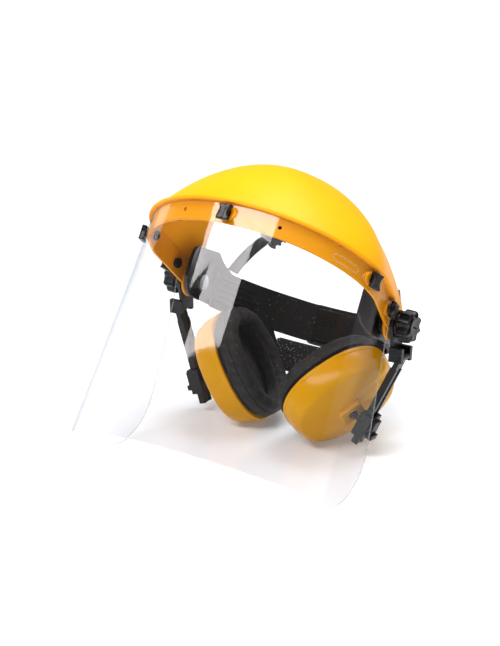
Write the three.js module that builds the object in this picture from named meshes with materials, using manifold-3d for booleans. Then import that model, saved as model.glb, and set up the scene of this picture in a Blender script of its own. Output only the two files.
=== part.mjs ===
// Forestry face protection set: a brow guard with a clear visor, a ratchet headgear and a pair of
// ear muffs on bar arms, standing on its visor and both cups with the headgear tipped front-up.
// Millimetres, +Z up, the face looks along -Y and the wearer's left is +X.
import * as THREE from 'three';
import { mergeVertices } from 'three/addons/utils/BufferGeometryUtils.js';
import Module from 'manifold-3d';

const wasm = await Module();
wasm.setup();

// ---- Driving dimensions ----
const GAP = 0.3; // clearance between pieces that touch
const PIVOT_HEIGHT = 100; // of the line through both side pivots
const BROW_PITCH = 37; // degrees, brow guard front-up
const HEAD_PITCH = 32; // degrees, headgear front-up

// Brow guard: plan outline of arms and a half-ellipse nose, in the brow guard's own frame
const BROW_HALF_WIDTH = 98;
const PIVOT_HALF_WIDTH = 91;
const NOSE_START = 50; // forward distance where the arms end and the nose begins
const NOSE_LENGTH = 76;
const BAND_RISE = 0.203; // height gained per millimetre forward
const BAND_HALF_HEIGHT = 8;
const WALL = 2.4;
const LIP_REACH = 4.2;
const LIP_THICKNESS = 3;
const CROWN_FORWARD = 58;
const CROWN_HEIGHT = 86;
const DOME_REAR = -13; // forward distance of the dome's rear edge at the arms
const REAR_EDGE_LEAN = 40; // degrees from vertical, forward
const REAR_EDGE_CROSSING = 24; // height where the rear edge passes over the pivot
const DOME_SIDE_POWER = 0.64; // height falls as (1 - reach squared) to this power
const DOME_FRONT_POWER = 0.87;
const DOME_LEVELS = 7;
const NOSE_STEPS = 24;
const PIVOT_PAD_RADIUS = 13;
const PIVOT_BORE = 4;

// Visor
const VISOR_THICKNESS = 1;
const VISOR_NOSE_FLARE = 0; // outward spread per millimetre down
const VISOR_SIDE_FLARE = 0.05;
const VISOR_LENGTH = 152; // below the pivot line
const VISOR_EDGE = [[18, 12], [13, -8], [9, -18], [5, -34], [-4, -62], [-12, -98]]; // side edge, forward and up

// Quarter-turn toggles: name, forward distance, side
const TOGGLES = [
  ['centre', NOSE_START + NOSE_LENGTH, 0],
  ['front_left', 66, 1],
  ['front_right', 66, -1],
  ['rear_left', 25, 1],
  ['rear_right', 25, -1],
];
const STUD_RADIUS = 2.2;
const BOSS_RADIUS = 5.5;
const BOSS_HEIGHT = 1.8;

// Headgear, in its own frame
const HEAD_HALF_WIDTH = 78;
const HEAD_REAR = 100;
const HEAD_FRONT = 82;
const STRAP_THICKNESS = 2.2;
const REAR_HALF_HEIGHT = 15.5;
const SWEATBAND_HALF_HEIGHT = 9;
const SWEATBAND_LIFT = 7.5; // above the middle of the brow band
const SWEATBAND_ANGLE = 44;
const CROWN_STRAP_HEIGHT = 76;
const CROWN_STRAP_HALF_WIDTH = 7.5;
const NAPE_HALF_SPAN = 44;
const NAPE_RADIUS = 104;
const NAPE_REAR = 87.5;
const NAPE_HEIGHT = -32;
const NAPE_HALF_HEIGHT = 12.5;
const NAPE_HALF_THICKNESS = 2.2;

// Pivot stack, outward from the headgear
const TEMPLE_INNER = HEAD_HALF_WIDTH + STRAP_THICKNESS + GAP;
const TEMPLE_THICKNESS = 2.6;
const BRACKET_THICKNESS = 2.6;
const KNOB_RADIUS = 13;
const KNOB_LENGTH = 13;

// Ear muffs
const CUP_HALF_HEIGHT = 45.5;
const CUP_HALF_WIDTH = 36;
const CUP_DEPTH = 28;
const CUP_WALL = 2.5;
const ARM_LENGTH = 80;
const ARM_WIDTH = 10;
const ARM_THICKNESS = 5.4;
const YOKE_HALF_WIDTH = ARM_WIDTH / 2 + 3.7;
const HINGE_DROP = 24; // from the pivot down to the arm's fold pin
const BALL_RADIUS = 4;

// Arm swing forward of vertical and fold inward, slider distance down the bar, then the cup's lean,
// its yaw and its spin about the ball
const MUFFS = [
  { side: 1, name: 'left', swing: 8, fold: 24, slide: 64, lean: 23, yaw: 31, spin: -56 },
  { side: -1, name: 'right', swing: 0, fold: 17, slide: 62, lean: 29.5, yaw: 12, spin: -10 },
];

// ---- Materials ----
function finish(color, roughness, metalness = 0) {
  return new THREE.MeshStandardMaterial({ color, roughness, metalness });
}

const YELLOW_GUARD = finish(0xf6c60a, 0.38);
const YELLOW_CUP = finish(0xe9a50c, 0.25);
const BLACK_PLASTIC = finish(0x1a1a1b, 0.5);
const BLACK_STRAP = finish(0x151516, 0.62);
const KNIT = finish(0x232324, 0.95);
const CUSHION_SKIN = finish(0x2a2a2c, 0.6);
const FOAM = finish(0x3a3a3d, 1);
const STEEL = finish(0x9a9c9f, 0.35, 1);
const CLEAR = finish(0xdfe6ea, 0.08);

// ---- Small helpers ----
const radians = THREE.MathUtils.degToRad;

// A point from its sideways, forward and upward distances.
function at(side, forward, up) {
  return new THREE.Vector3(side, -forward, up);
}

// Closed solid through rings of points; the rings are convex, or star-shaped about their middle.
function loft(rings, closed = false) {
  const count = rings[0].length;
  const points = rings.flat();
  const faces = [];
  const spans = closed ? rings.length : rings.length - 1;
  for (let ring = 0; ring < spans; ring += 1) {
    const here = ring * count;
    const next = ((ring + 1) % rings.length) * count;
    for (let corner = 0; corner < count; corner += 1) {
      const after = (corner + 1) % count;
      faces.push(here + corner, here + after, next + after);
      faces.push(here + corner, next + after, next + corner);
    }
  }
  if (!closed) {
    for (const [ring, flip] of [[0, true], [rings.length - 1, false]]) {
      const middle = new THREE.Vector3();
      rings[ring].forEach((point) => middle.addScaledVector(point, 1 / count));
      points.push(middle);
      for (let corner = 0; corner < count; corner += 1) {
        const a = ring * count + corner;
        const b = ring * count + ((corner + 1) % count);
        faces.push(points.length - 1, flip ? b : a, flip ? a : b);
      }
    }
  }
  const geometry = new THREE.BufferGeometry().setFromPoints(points);
  geometry.setIndex(signedVolume(points, faces) < 0 ? faces.reverse() : faces);
  return geometry;
}

function signedVolume(points, faces) {
  let volume = 0;
  for (let corner = 0; corner < faces.length; corner += 3) {
    const [a, b, c] = faces.slice(corner, corner + 3).map((index) => points[index]);
    volume += a.dot(b.clone().cross(c)) / 6;
  }
  return volume;
}

function toManifold(geometry) {
  const plain = geometry.clone();
  plain.deleteAttribute('normal');
  plain.deleteAttribute('uv');
  const merged = mergeVertices(plain, 1e-4);
  return new wasm.Manifold(new wasm.Mesh({
    numProp: 3,
    vertProperties: new Float32Array(merged.attributes.position.array),
    triVerts: new Uint32Array(merged.index.array),
  }));
}

function toGeometry(manifold) {
  const mesh = manifold.getMesh();
  const geometry = new THREE.BufferGeometry();
  geometry.setAttribute('position', new THREE.BufferAttribute(new Float32Array(mesh.vertProperties), 3));
  geometry.setIndex(new THREE.BufferAttribute(new Uint32Array(mesh.triVerts), 1));
  geometry.computeVertexNormals();
  return geometry;
}

// The first solid with others joined on and more cut away.
function shaped(base, joins = [], cuts = []) {
  let result = toManifold(base);
  for (const join of joins) result = result.add(toManifold(join));
  for (const cut of cuts) result = result.subtract(toManifold(cut));
  return toGeometry(result);
}

function common(base, mask) {
  return toGeometry(toManifold(base).intersect(toManifold(mask)));
}

// A cylinder along X between two sideways distances.
function rodX(radius, from, to, sides = 20) {
  return new THREE.CylinderGeometry(radius, radius, Math.abs(to - from), sides)
    .rotateZ(Math.PI / 2)
    .translate((from + to) / 2, 0, 0);
}

function box(x, y, z) {
  return new THREE.BoxGeometry(x, y, z);
}

// Matrix of a local frame: columns along, up and outward, at an origin.
function frameMatrix(origin, along, up, outward) {
  return new THREE.Matrix4().makeBasis(along, up, outward).setPosition(origin);
}

// A closed rectangle section with cut corners, across by up, about a middle.
function stripSection(frame, inner, outer, low, high, bevel = 0.5) {
  const corners = [
    [inner + bevel, low], [outer - bevel, low], [outer, low + bevel], [outer, high - bevel],
    [outer - bevel, high], [inner + bevel, high], [inner, high - bevel], [inner, low + bevel],
  ];
  return corners.map(([across, up]) => frame.origin.clone()
    .addScaledVector(frame.outward, across)
    .addScaledVector(frame.up, up));
}

const UP = new THREE.Vector3(0, 0, 1);

// Turns a shape drawn as forward and up, extruded to its depth, into a solid along X.
const SIDE_VIEW = new THREE.Matrix4().makeBasis(at(0, 1, 0), at(0, 0, 1), at(-1, 0, 0));

// ---- Brow guard plan ----
// A plan station holds a point on the outer face of the band and its outward direction.
function noseStation(angle) {
  const side = BROW_HALF_WIDTH * Math.sin(angle);
  const forward = NOSE_START + NOSE_LENGTH * Math.cos(angle);
  const outward = at(Math.sin(angle) / BROW_HALF_WIDTH, Math.cos(angle) / NOSE_LENGTH, 0).normalize();
  return { side, forward, outward };
}

function armStation(side, forward) {
  const splay = (BROW_HALF_WIDTH - PIVOT_HALF_WIDTH) / NOSE_START;
  return {
    side: side * (PIVOT_HALF_WIDTH + splay * Math.max(forward, 0)),
    forward,
    outward: at(side, forward > 0 ? -splay : 0, 0).normalize(),
  };
}

function bandFrame(station, drop = 0) {
  const origin = at(station.side, station.forward, BAND_RISE * station.forward - drop);
  return { origin, outward: station.outward, up: UP };
}

function stationsFrom(rearEnd) {
  const stations = [];
  const armForwards = [rearEnd, 20, 40];
  armForwards.forEach((forward) => stations.push(armStation(-1, forward)));
  for (let step = 0; step <= NOSE_STEPS; step += 1) {
    stations.push(noseStation(radians(-90 + (180 * step) / NOSE_STEPS)));
  }
  armForwards.reverse().forEach((forward) => stations.push(armStation(1, forward)));
  return stations;
}

function stationAt(forward, side) {
  if (side === 0) return noseStation(0);
  if (forward < NOSE_START) return armStation(side, forward);
  return noseStation(side * Math.acos((forward - NOSE_START) / NOSE_LENGTH));
}

function onBand(station, lift = 0) {
  const frame = bandFrame(station);
  const along = new THREE.Vector3().crossVectors(UP, frame.outward).normalize();
  return frameMatrix(frame.origin.addScaledVector(frame.outward, lift), along, UP, frame.outward);
}

// ---- Brow guard ----
function domeCap(inset) {
  const rimStations = stationsFrom(DOME_REAR);
  const rearSteps = 8;
  for (let step = 1; step < rearSteps; step += 1) {
    const angle = (Math.PI * step) / rearSteps;
    rimStations.push({
      side: rimStations[0].side * -Math.cos(angle),
      forward: DOME_REAR - NOSE_START * Math.sin(angle),
      outward: at(Math.cos(angle), -Math.sin(angle), 0),
    });
  }
  const rim = rimStations.map((station) => bandFrame(station).origin
    .addScaledVector(station.outward, 1 - inset)
    .add(at(0, 0, BAND_HALF_HEIGHT)));
  const crown = at(0, CROWN_FORWARD, CROWN_HEIGHT - inset);
  const rings = [rim.map((point) => point.clone().add(at(0, 0, -inset - 0.5)))];
  for (let level = 0; level < DOME_LEVELS; level += 1) {
    const reach = Math.cos((Math.PI / 2) * (level / DOME_LEVELS));
    rings.push(rim.map((point, index) => {
      const sideways = rimStations[index].outward.x ** 6;
      const power = DOME_FRONT_POWER + (DOME_SIDE_POWER - DOME_FRONT_POWER) * sideways;
      const climb = (1 - reach * reach) ** power;
      return new THREE.Vector3(
        crown.x + (point.x - crown.x) * reach,
        crown.y + (point.y - crown.y) * reach,
        point.z + (crown.z - point.z) * climb,
      );
    }));
  }
  rings.push(rim.map((point) => crown.clone().addScaledVector(point.clone().sub(crown).setZ(0), 0.02)));
  return loft(rings);
}

function browGuard() {
  const stations = stationsFrom(DOME_REAR);
  const band = loft(stations.map((station) => stripSection(
    bandFrame(station), -WALL, 0, -BAND_HALF_HEIGHT, BAND_HALF_HEIGHT, 0.4,
  )));
  const lip = loft(stationsFrom(16).map((station) => stripSection(
    bandFrame(station), -WALL, LIP_REACH, BAND_HALF_HEIGHT - 1, BAND_HALF_HEIGHT - 1 + LIP_THICKNESS, 0.8,
  )));
  const behind = box(400, 400, 400).translate(0, 200 - DOME_REAR, 0);
  const leaning = box(400, 400, 400)
    .translate(0, 200, 0)
    .rotateX(radians(REAR_EDGE_LEAN))
    .translate(0, 0, REAR_EDGE_CROSSING);
  const dome = shaped(domeCap(0), [], [domeCap(WALL), behind, leaning]);
  const pads = [1, -1].map((side) => rodX(
    PIVOT_PAD_RADIUS, side * (PIVOT_HALF_WIDTH - WALL), side * PIVOT_HALF_WIDTH, 20,
  ));
  const bosses = TOGGLES.map(([, forward, side]) => {
    const boss = new THREE.CylinderGeometry(BOSS_RADIUS, BOSS_RADIUS, BOSS_HEIGHT + WALL, 16);
    boss.rotateX(Math.PI / 2).scale(1.3, 1, 1).translate(0, 0, (BOSS_HEIGHT - WALL) / 2);
    return boss.applyMatrix4(onBand(stationAt(forward, side)));
  });
  const studHoles = TOGGLES.map(([, forward, side]) => {
    const hole = new THREE.CylinderGeometry(STUD_RADIUS + GAP, STUD_RADIUS + GAP, 20, 10);
    return hole.rotateX(Math.PI / 2).applyMatrix4(onBand(stationAt(forward, side)));
  });
  const smallHoles = [-73, -24.5, 24.5, 73].map((angle) => {
    const hole = new THREE.CylinderGeometry(1.6, 1.6, 20, 8);
    return hole.rotateX(Math.PI / 2).applyMatrix4(onBand(noseStation(radians(angle))));
  });
  const bores = [1, -1].map((side) => rodX(PIVOT_BORE, side * 80, side * 110));
  return shaped(band, [lip, dome, ...pads, ...bosses], [...studHoles, ...smallHoles, ...bores]);
}

// ---- Visor ----
function visorSheet() {
  const stations = stationsFrom(-30);
  const sheet = loft(stations.map((station) => {
    const inner = GAP;
    const outer = GAP + VISOR_THICKNESS;
    const top = BAND_HALF_HEIGHT - 1 - GAP;
    const bottom = -VISOR_LENGTH - BAND_RISE * station.forward;
    const flare = VISOR_NOSE_FLARE + (VISOR_SIDE_FLARE - VISOR_NOSE_FLARE) * station.outward.x ** 4;
    const spread = flare * (top - bottom);
    const frame = bandFrame(station);
    return [[inner, top], [outer, top], [outer + spread, bottom], [inner + spread, bottom]].map(
      ([across, up]) => frame.origin.clone()
        .addScaledVector(frame.outward, across)
        .add(at(0, 0, up)),
    );
  }));
  const sideView = new THREE.Shape();
  const [edgeStart] = VISOR_EDGE;
  const edgeEnd = VISOR_EDGE[VISOR_EDGE.length - 1];
  sideView.moveTo(200, 60);
  sideView.lineTo(edgeStart[0] + 8, 60);
  sideView.lineTo(edgeStart[0] + 6, edgeStart[1] + 6);
  VISOR_EDGE.forEach(([forward, up]) => sideView.lineTo(forward, up));
  sideView.bezierCurveTo(edgeEnd[0] - 4, -VISOR_LENGTH + 22, 12, -VISOR_LENGTH, 52, -VISOR_LENGTH);
  sideView.lineTo(200, -VISOR_LENGTH);
  sideView.closePath();
  const mask = new THREE.ExtrudeGeometry(sideView, { depth: 300, bevelEnabled: false, curveSegments: 10 });
  mask.translate(0, 0, -150).applyMatrix4(SIDE_VIEW);
  const openings = TOGGLES.map(([, forward, side]) => {
    const hole = new THREE.CylinderGeometry(BOSS_RADIUS + GAP, BOSS_RADIUS + GAP + 0.3, 20, 14);
    return hole.rotateX(Math.PI / 2).scale(1.3, 1, 1).applyMatrix4(onBand(stationAt(forward, side)));
  });
  return shaped(common(sheet, mask), [], openings);
}

// ---- Toggles: a bow-tie head on a stud, and the round retainer behind the band ----
function toggleHead() {
  const bowTie = new THREE.Shape();
  const outline = [[-7, -4], [-2, -2.8], [2, -2.8], [5.2, -4], [5.2, 4], [2, 2.8], [-2, 2.8], [-7, 4]];
  outline.forEach(([x, y], corner) => (corner ? bowTie.lineTo(x, y) : bowTie.moveTo(x, y)));
  bowTie.closePath();
  const head = new THREE.ExtrudeGeometry(bowTie, { depth: 6, bevelEnabled: false });
  head.rotateZ(Math.PI / 2).translate(0, 0, BOSS_HEIGHT + GAP);
  const studTop = BOSS_HEIGHT + GAP + 1;
  const studBottom = -WALL - 4;
  const stud = new THREE.CylinderGeometry(STUD_RADIUS, STUD_RADIUS, studTop - studBottom, 10)
    .rotateX(Math.PI / 2)
    .translate(0, 0, (studTop + studBottom) / 2);
  return shaped(head, [stud]);
}

function toggleRetainer() {
  const height = 2.4;
  const disc = new THREE.CylinderGeometry(4, 4, height, 14).rotateX(Math.PI / 2);
  const hole = new THREE.CylinderGeometry(STUD_RADIUS + GAP, STUD_RADIUS + GAP, 10, 10).rotateX(Math.PI / 2);
  return shaped(disc, [], [hole]).translate(0, 0, -WALL - GAP - height / 2);
}

// ---- Sweatband: a pad on a carrier strip that stands off the inside of the brow band ----
function sweatbandStrip(inner, outer, reach, bevel) {
  const steps = 12;
  const frames = Array.from({ length: steps + 1 }, (_, step) => bandFrame(
    noseStation(radians(-reach + (2 * reach * step) / steps)),
    -SWEATBAND_LIFT,
  ));
  return strip(frames, inner, outer, -SWEATBAND_HALF_HEIGHT, SWEATBAND_HALF_HEIGHT, bevel);
}

function sweatbandCarrier() {
  const pegs = [-40, -14, 14, 40].map((angle) => new THREE.CylinderGeometry(2.5, 2.5, 5, 10)
    .rotateX(Math.PI / 2)
    .translate(0, SWEATBAND_LIFT, -WALL - GAP - 2.5)
    .applyMatrix4(onBand(noseStation(radians(angle)))));
  return shaped(sweatbandStrip(-9, -7.2, SWEATBAND_ANGLE, 0.4), pegs);
}

// ---- Headgear ----
function rearFrame(angle, inset = 0) {
  const side = HEAD_HALF_WIDTH * Math.cos(angle);
  const forward = -HEAD_REAR * Math.sin(angle);
  const outward = at(Math.cos(angle) / HEAD_HALF_WIDTH, -Math.sin(angle) / HEAD_REAR, 0).normalize();
  return { origin: at(side, forward, 0).addScaledVector(outward, inset), outward, up: UP };
}

function frontFrame(angle) {
  const side = HEAD_HALF_WIDTH * Math.cos(angle);
  const forward = HEAD_FRONT * Math.sin(angle);
  const outward = at(Math.cos(angle) / HEAD_HALF_WIDTH, Math.sin(angle) / HEAD_FRONT, 0).normalize();
  return { origin: at(side, forward, 0), outward, up: UP };
}

function arcFrames(frameAt, from, to, steps) {
  return Array.from({ length: steps + 1 }, (_, step) => frameAt(radians(from + ((to - from) * step) / steps)));
}

function strip(frames, inner, outer, low, high, bevel = 0.5) {
  return loft(frames.map((frame) => stripSection(frame, inner, outer, low, high, bevel)));
}

// Both rear straps run into the ratchet housing: the left one inside, the right one outside.
function rearStrap(side) {
  const layer = side > 0 ? 0 : STRAP_THICKNESS + GAP;
  const frames = Array.from({ length: 13 }, (_, step) => {
    const angle = 10 + ((98 - 10) * step) / 12;
    const fade = THREE.MathUtils.smoothstep(angle, 55, 72);
    return rearFrame(radians(side > 0 ? angle : 180 - angle), layer * fade);
  });
  const strap = strip(frames, 0, STRAP_THICKNESS, -REAR_HALF_HEIGHT, REAR_HALF_HEIGHT);
  const slot = box(34, 30, 9).translate(0, HEAD_REAR, 0);
  return shaped(strap, [], [slot]);
}

const HOUSING_INNER = GAP + STRAP_THICKNESS * 2 + GAP * 2;

function ratchetHousing() {
  const frames = arcFrames(rearFrame, 70, 110, 6);
  const shell = strip(frames, -2.8, HOUSING_INNER + 8, -20, 20, 1.6);
  const channel = strip(arcFrames(rearFrame, 64, 116, 6), -0.4, HOUSING_INNER, -16, 16, 0.2);
  const bore = new THREE.CylinderGeometry(3.4, 3.4, 40, 12).translate(0, HEAD_REAR + 14, 0);
  return shaped(shell, [], [channel, bore]);
}

function ratchetKnob() {
  const shape = new THREE.Shape();
  const points = 36;
  for (let point = 0; point < points; point += 1) {
    const angle = (2 * Math.PI * point) / points;
    const radius = 15 + 1.1 * Math.cos(12 * angle);
    const [x, y] = [radius * Math.cos(angle), radius * Math.sin(angle)];
    if (point) shape.lineTo(x, y);
    else shape.moveTo(x, y);
  }
  shape.closePath();
  const start = HEAD_REAR + HOUSING_INNER + 8 + GAP;
  const knob = new THREE.ExtrudeGeometry(shape, { depth: 11, bevelEnabled: false });
  knob.rotateX(-Math.PI / 2).translate(0, start, 0);
  const shaft = new THREE.CylinderGeometry(3, 3, 13, 12).translate(0, start - 5, 0);
  return shaped(knob, [shaft]);
}

function templePlate(side) {
  const frames = [];
  for (const forward of [30, 20, 10, 0]) {
    const angle = Math.asin(forward / HEAD_FRONT);
    frames.push(frontFrame(side > 0 ? angle : Math.PI - angle));
  }
  for (const forward of [8, 16, 25, 34]) {
    const angle = Math.asin(forward / HEAD_REAR);
    frames.push(rearFrame(side > 0 ? angle : Math.PI - angle));
  }
  const inner = STRAP_THICKNESS + GAP;
  const plate = strip(frames, inner, inner + TEMPLE_THICKNESS, -14, 29, 0.8);
  const bore = rodX(PIVOT_BORE, side * 70, side * 100);
  const edges = new THREE.Shape();
  edges.moveTo(34, 2);
  edges.quadraticCurveTo(33, 25, 16, 25);
  edges.lineTo(-14, 28);
  edges.lineTo(-22, 22);
  edges.lineTo(-40, 14);
  edges.lineTo(-40, -12);
  edges.quadraticCurveTo(-24, -14, -12, -14);
  edges.lineTo(10, -14);
  edges.quadraticCurveTo(26, -12, 34, 2);
  const mask = new THREE.ExtrudeGeometry(edges, { depth: 260, bevelEnabled: false, curveSegments: 6 });
  mask.translate(0, 0, -130).applyMatrix4(SIDE_VIEW);
  return shaped(common(plate, mask), [], [bore]);
}

// The crown strap leans back as it rises and lies slightly askew.
function crownFrame(angle, lower = 0) {
  const span = HEAD_HALF_WIDTH - 3.4;
  const side = span * Math.cos(angle);
  const height = 2 + (CROWN_STRAP_HEIGHT - lower) * Math.sin(angle);
  const forward = -15 - 23 * Math.sin(angle) + 0.11 * side;
  const outward = at(Math.cos(angle) / span, 0, Math.sin(angle) / CROWN_STRAP_HEIGHT).normalize();
  const along = new THREE.Vector3(0, 1, 0);
  return { origin: at(side, forward, height), outward, up: along };
}

function crownStrap(side) {
  const lower = side > 0 ? 0 : STRAP_THICKNESS + GAP;
  const frames = arcFrames((angle) => crownFrame(side > 0 ? angle : Math.PI - angle, lower), 12, 98, 12);
  const strap = strip(frames, -STRAP_THICKNESS + 0.4, 0, -CROWN_STRAP_HALF_WIDTH, CROWN_STRAP_HALF_WIDTH);
  const middle = crownFrame(Math.PI / 2).origin;
  const hole = new THREE.CylinderGeometry(2.3, 2.3, 30, 10).rotateX(Math.PI / 2);
  hole.translate(middle.x, middle.y, middle.z);
  return shaped(strap, [], [hole]);
}

function crownPin() {
  const middle = crownFrame(Math.PI / 2).origin;
  const depth = 2 * STRAP_THICKNESS + 2 * GAP;
  const profile = [[0, -depth - 1.6], [4, -depth - 1.6], [4, -depth], [2, -depth], [2, GAP], [5, GAP],
    [5, GAP + 1.8], [0, GAP + 1.8]];
  const pin = new THREE.LatheGeometry(profile.map(([x, y]) => new THREE.Vector2(x, y)), 12);
  return pin.rotateX(Math.PI / 2).translate(middle.x, middle.y, middle.z);
}

// A ribbed slider that shortens the right half of the crown strap.
function crownBuckle() {
  const frame = crownFrame(radians(180 - 46), STRAP_THICKNESS + GAP);
  const ahead = crownFrame(radians(180 - 44), STRAP_THICKNESS + GAP).origin;
  const along = frame.origin.clone().sub(ahead).normalize();
  const across = new THREE.Vector3().crossVectors(frame.outward, along).normalize();
  const body = box(15, CROWN_STRAP_HALF_WIDTH * 2 + 7, 6.6).translate(0, 0, -1);
  const channel = box(40, CROWN_STRAP_HALF_WIDTH * 2 + 3.4, 3.4);
  const ribs = [-5, 0, 5].map((shift) => box(2.2, CROWN_STRAP_HALF_WIDTH * 2 + 7, 2).translate(shift, 0, -5));
  const buckle = shaped(body, ribs, [channel]);
  const centre = frame.origin.addScaledVector(frame.outward, -(STRAP_THICKNESS - 0.4) / 2);
  return buckle.applyMatrix4(frameMatrix(centre, along, across, frame.outward));
}

// Shallow arc of the nape pad; the side straps climb from its ends to the rear straps.
function napeFrame(angle, lift = 0) {
  const side = NAPE_RADIUS * Math.sin(angle);
  const forward = -NAPE_REAR + NAPE_RADIUS * (1 - Math.cos(angle));
  return {
    origin: at(side, forward, NAPE_HEIGHT + lift),
    outward: at(Math.sin(angle), -Math.cos(angle), 0),
    up: UP,
  };
}

function napePad() {
  const end = THREE.MathUtils.radToDeg(Math.asin(NAPE_HALF_SPAN / NAPE_RADIUS));
  const frames = arcFrames(napeFrame, -end, end, 10);
  return strip(frames, -NAPE_HALF_THICKNESS, NAPE_HALF_THICKNESS, -NAPE_HALF_HEIGHT, NAPE_HALF_HEIGHT, 1.2);
}

// Runs outside the pad's end, then up to the inner face of the rear strap.
function napeStrap(side) {
  const onPad = [28, 43].map((reach) => {
    const frame = napeFrame(side * Math.asin(reach / NAPE_RADIUS));
    return frame.origin.addScaledVector(frame.outward, NAPE_HALF_THICKNESS + GAP + 1.2);
  });
  const onStrap = [44, 36].map((degrees, step) => {
    const frame = rearFrame(radians(side > 0 ? degrees : 180 - degrees), -2.6);
    return frame.origin.setZ(-13 + 6 * step);
  });
  const curve = new THREE.CatmullRomCurve3([...onPad, ...onStrap]);
  const frames = Array.from({ length: 9 }, (_, step) => {
    const origin = curve.getPoint(step / 8);
    const tangent = curve.getTangent(step / 8);
    const outward = new THREE.Vector3().crossVectors(UP, tangent).multiplyScalar(-side).normalize();
    return { origin, outward, up: new THREE.Vector3().crossVectors(tangent, outward).multiplyScalar(-side).normalize() };
  });
  return strip(frames, -0.8, 0.8, -6, 6, 0.4);
}

// ---- Pivot hardware ----
const SPACER_START = TEMPLE_INNER + TEMPLE_THICKNESS + GAP;
const BRACKET_START = PIVOT_HALF_WIDTH + GAP + 2.6;
const KNOB_START = BRACKET_START + BRACKET_THICKNESS + GAP;

function pivotBolt(side) {
  const head = [TEMPLE_INNER - 2 * GAP - 2.2, TEMPLE_INNER - 2 * GAP];
  const shank = PIVOT_BORE - GAP - 0.1;
  const end = KNOB_START + 8;
  const bolt = new THREE.LatheGeometry([
    new THREE.Vector2(0, head[0]), new THREE.Vector2(6.5, head[0]), new THREE.Vector2(6.5, head[1]),
    new THREE.Vector2(shank, head[1]), new THREE.Vector2(shank, end), new THREE.Vector2(0, end),
  ], 12);
  return bolt.rotateZ(-side * (Math.PI / 2));
}

function frictionSpacer(side) {
  const disc = rodX(10, side * SPACER_START, side * (PIVOT_HALF_WIDTH - WALL - GAP), 16);
  return shaped(disc, [], [rodX(PIVOT_BORE, side * 80, side * 100)]);
}

function pivotKnob(side) {
  const lobes = 8;
  const shape = new THREE.Shape();
  const points = 32;
  for (let point = 0; point < points; point += 1) {
    const angle = (2 * Math.PI * point) / points;
    const radius = KNOB_RADIUS - 1.4 + 1.4 * Math.cos(lobes * angle);
    const [x, y] = [radius * Math.cos(angle), radius * Math.sin(angle)];
    if (point) shape.lineTo(x, y);
    else shape.moveTo(x, y);
  }
  shape.closePath();
  const knob = new THREE.ExtrudeGeometry(shape, { depth: KNOB_LENGTH, bevelEnabled: false });
  knob.rotateY(side * (Math.PI / 2)).translate(side * KNOB_START, 0, 0);
  return shaped(knob, [], [rodX(PIVOT_BORE, side * (KNOB_START - 1), side * (KNOB_START + 9))]);
}

// ---- Ear muffs ----
// The arm's bracket turns about the pivot and carries the fold pin outside the brow guard's arm.
const PIN_SIDE = BRACKET_START + 7.5;

function armBracket(side) {
  const plate = new THREE.Shape();
  plate.absarc(0, 0, 11, 0, Math.PI, false);
  plate.lineTo(-7, -HINGE_DROP + 7);
  plate.lineTo(7, -HINGE_DROP + 7);
  plate.closePath();
  const sheet = new THREE.ExtrudeGeometry(plate, { depth: BRACKET_THICKNESS, bevelEnabled: false });
  sheet.rotateX(Math.PI / 2).rotateZ(side * (Math.PI / 2)).translate(side * BRACKET_START, 0, 0);
  const yoke = box(11, 2 * YOKE_HALF_WIDTH, 11)
    .translate(side * (BRACKET_START + 5.5), 0, -HINGE_DROP + 2);
  const room = box(30, ARM_WIDTH + 2 * GAP, 30)
    .translate(side * (BRACKET_START + BRACKET_THICKNESS + 15), 0, -HINGE_DROP);
  const pinHole = new THREE.CylinderGeometry(1.9, 1.9, 40, 10).translate(side * PIN_SIDE, 0, -HINGE_DROP);
  const barRoom = box(60, ARM_WIDTH + 2 * GAP, 30)
    .translate(side * (BRACKET_START + BRACKET_THICKNESS), 0, -HINGE_DROP - 16);
  const knobRoom = rodX(KNOB_RADIUS + 0.8, side * (KNOB_START - GAP), side * (KNOB_START + 30), 20);
  return shaped(sheet, [yoke], [room, barRoom, pinHole, knobRoom, rodX(PIVOT_BORE, side * 90, side * 110)]);
}

function foldPin(side) {
  return new THREE.CylinderGeometry(1.6, 1.6, 2 * YOKE_HALF_WIDTH, 10).translate(side * PIN_SIDE, 0, -HINGE_DROP);
}

// Arm bar in its own frame: the fold pin along Y at the origin, the bar hanging down.
function armBar() {
  const eye = new THREE.CylinderGeometry(3.6, 3.6, ARM_WIDTH, 12);
  const bar = box(ARM_THICKNESS - 1.4, ARM_WIDTH, ARM_LENGTH).translate(0, 0, -ARM_LENGTH / 2 - 1);
  const rails = [-1, 1].map((edge) => box(ARM_THICKNESS, 2.2, ARM_LENGTH - 10)
    .translate(0, (edge * (ARM_WIDTH - 2.2)) / 2, -ARM_LENGTH / 2 - 6));
  const pinHole = new THREE.CylinderGeometry(1.9, 1.9, 40, 10);
  return shaped(eye, [bar, ...rails], [pinHole]);
}

const SLIDER_HEIGHT = 20;
const BALL_REACH = 13;

// The slider clips round the bar and carries the ball that the cup turns on.
function armSlider(side) {
  const body = box(ARM_THICKNESS + 5, ARM_WIDTH + 5, SLIDER_HEIGHT);
  const channel = box(ARM_THICKNESS + 2 * GAP, ARM_WIDTH + 2 * GAP, 60);
  const studHole = rodX(2.6, -side * (ARM_THICKNESS / 2), -side * (ARM_THICKNESS / 2 + 6), 10);
  return shaped(body, [], [channel, studHole]);
}

function sliderClip(side) {
  const tab = box(3, 9, 15).translate(side * (ARM_THICKNESS / 2 + 2.5 + GAP + 1.5), 0, 0);
  const nose = box(2.6, 9, 4).translate(side * (ARM_THICKNESS / 2 + 2.5 + GAP + 4), 0, -5.5);
  return shaped(tab, [nose]);
}

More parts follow.
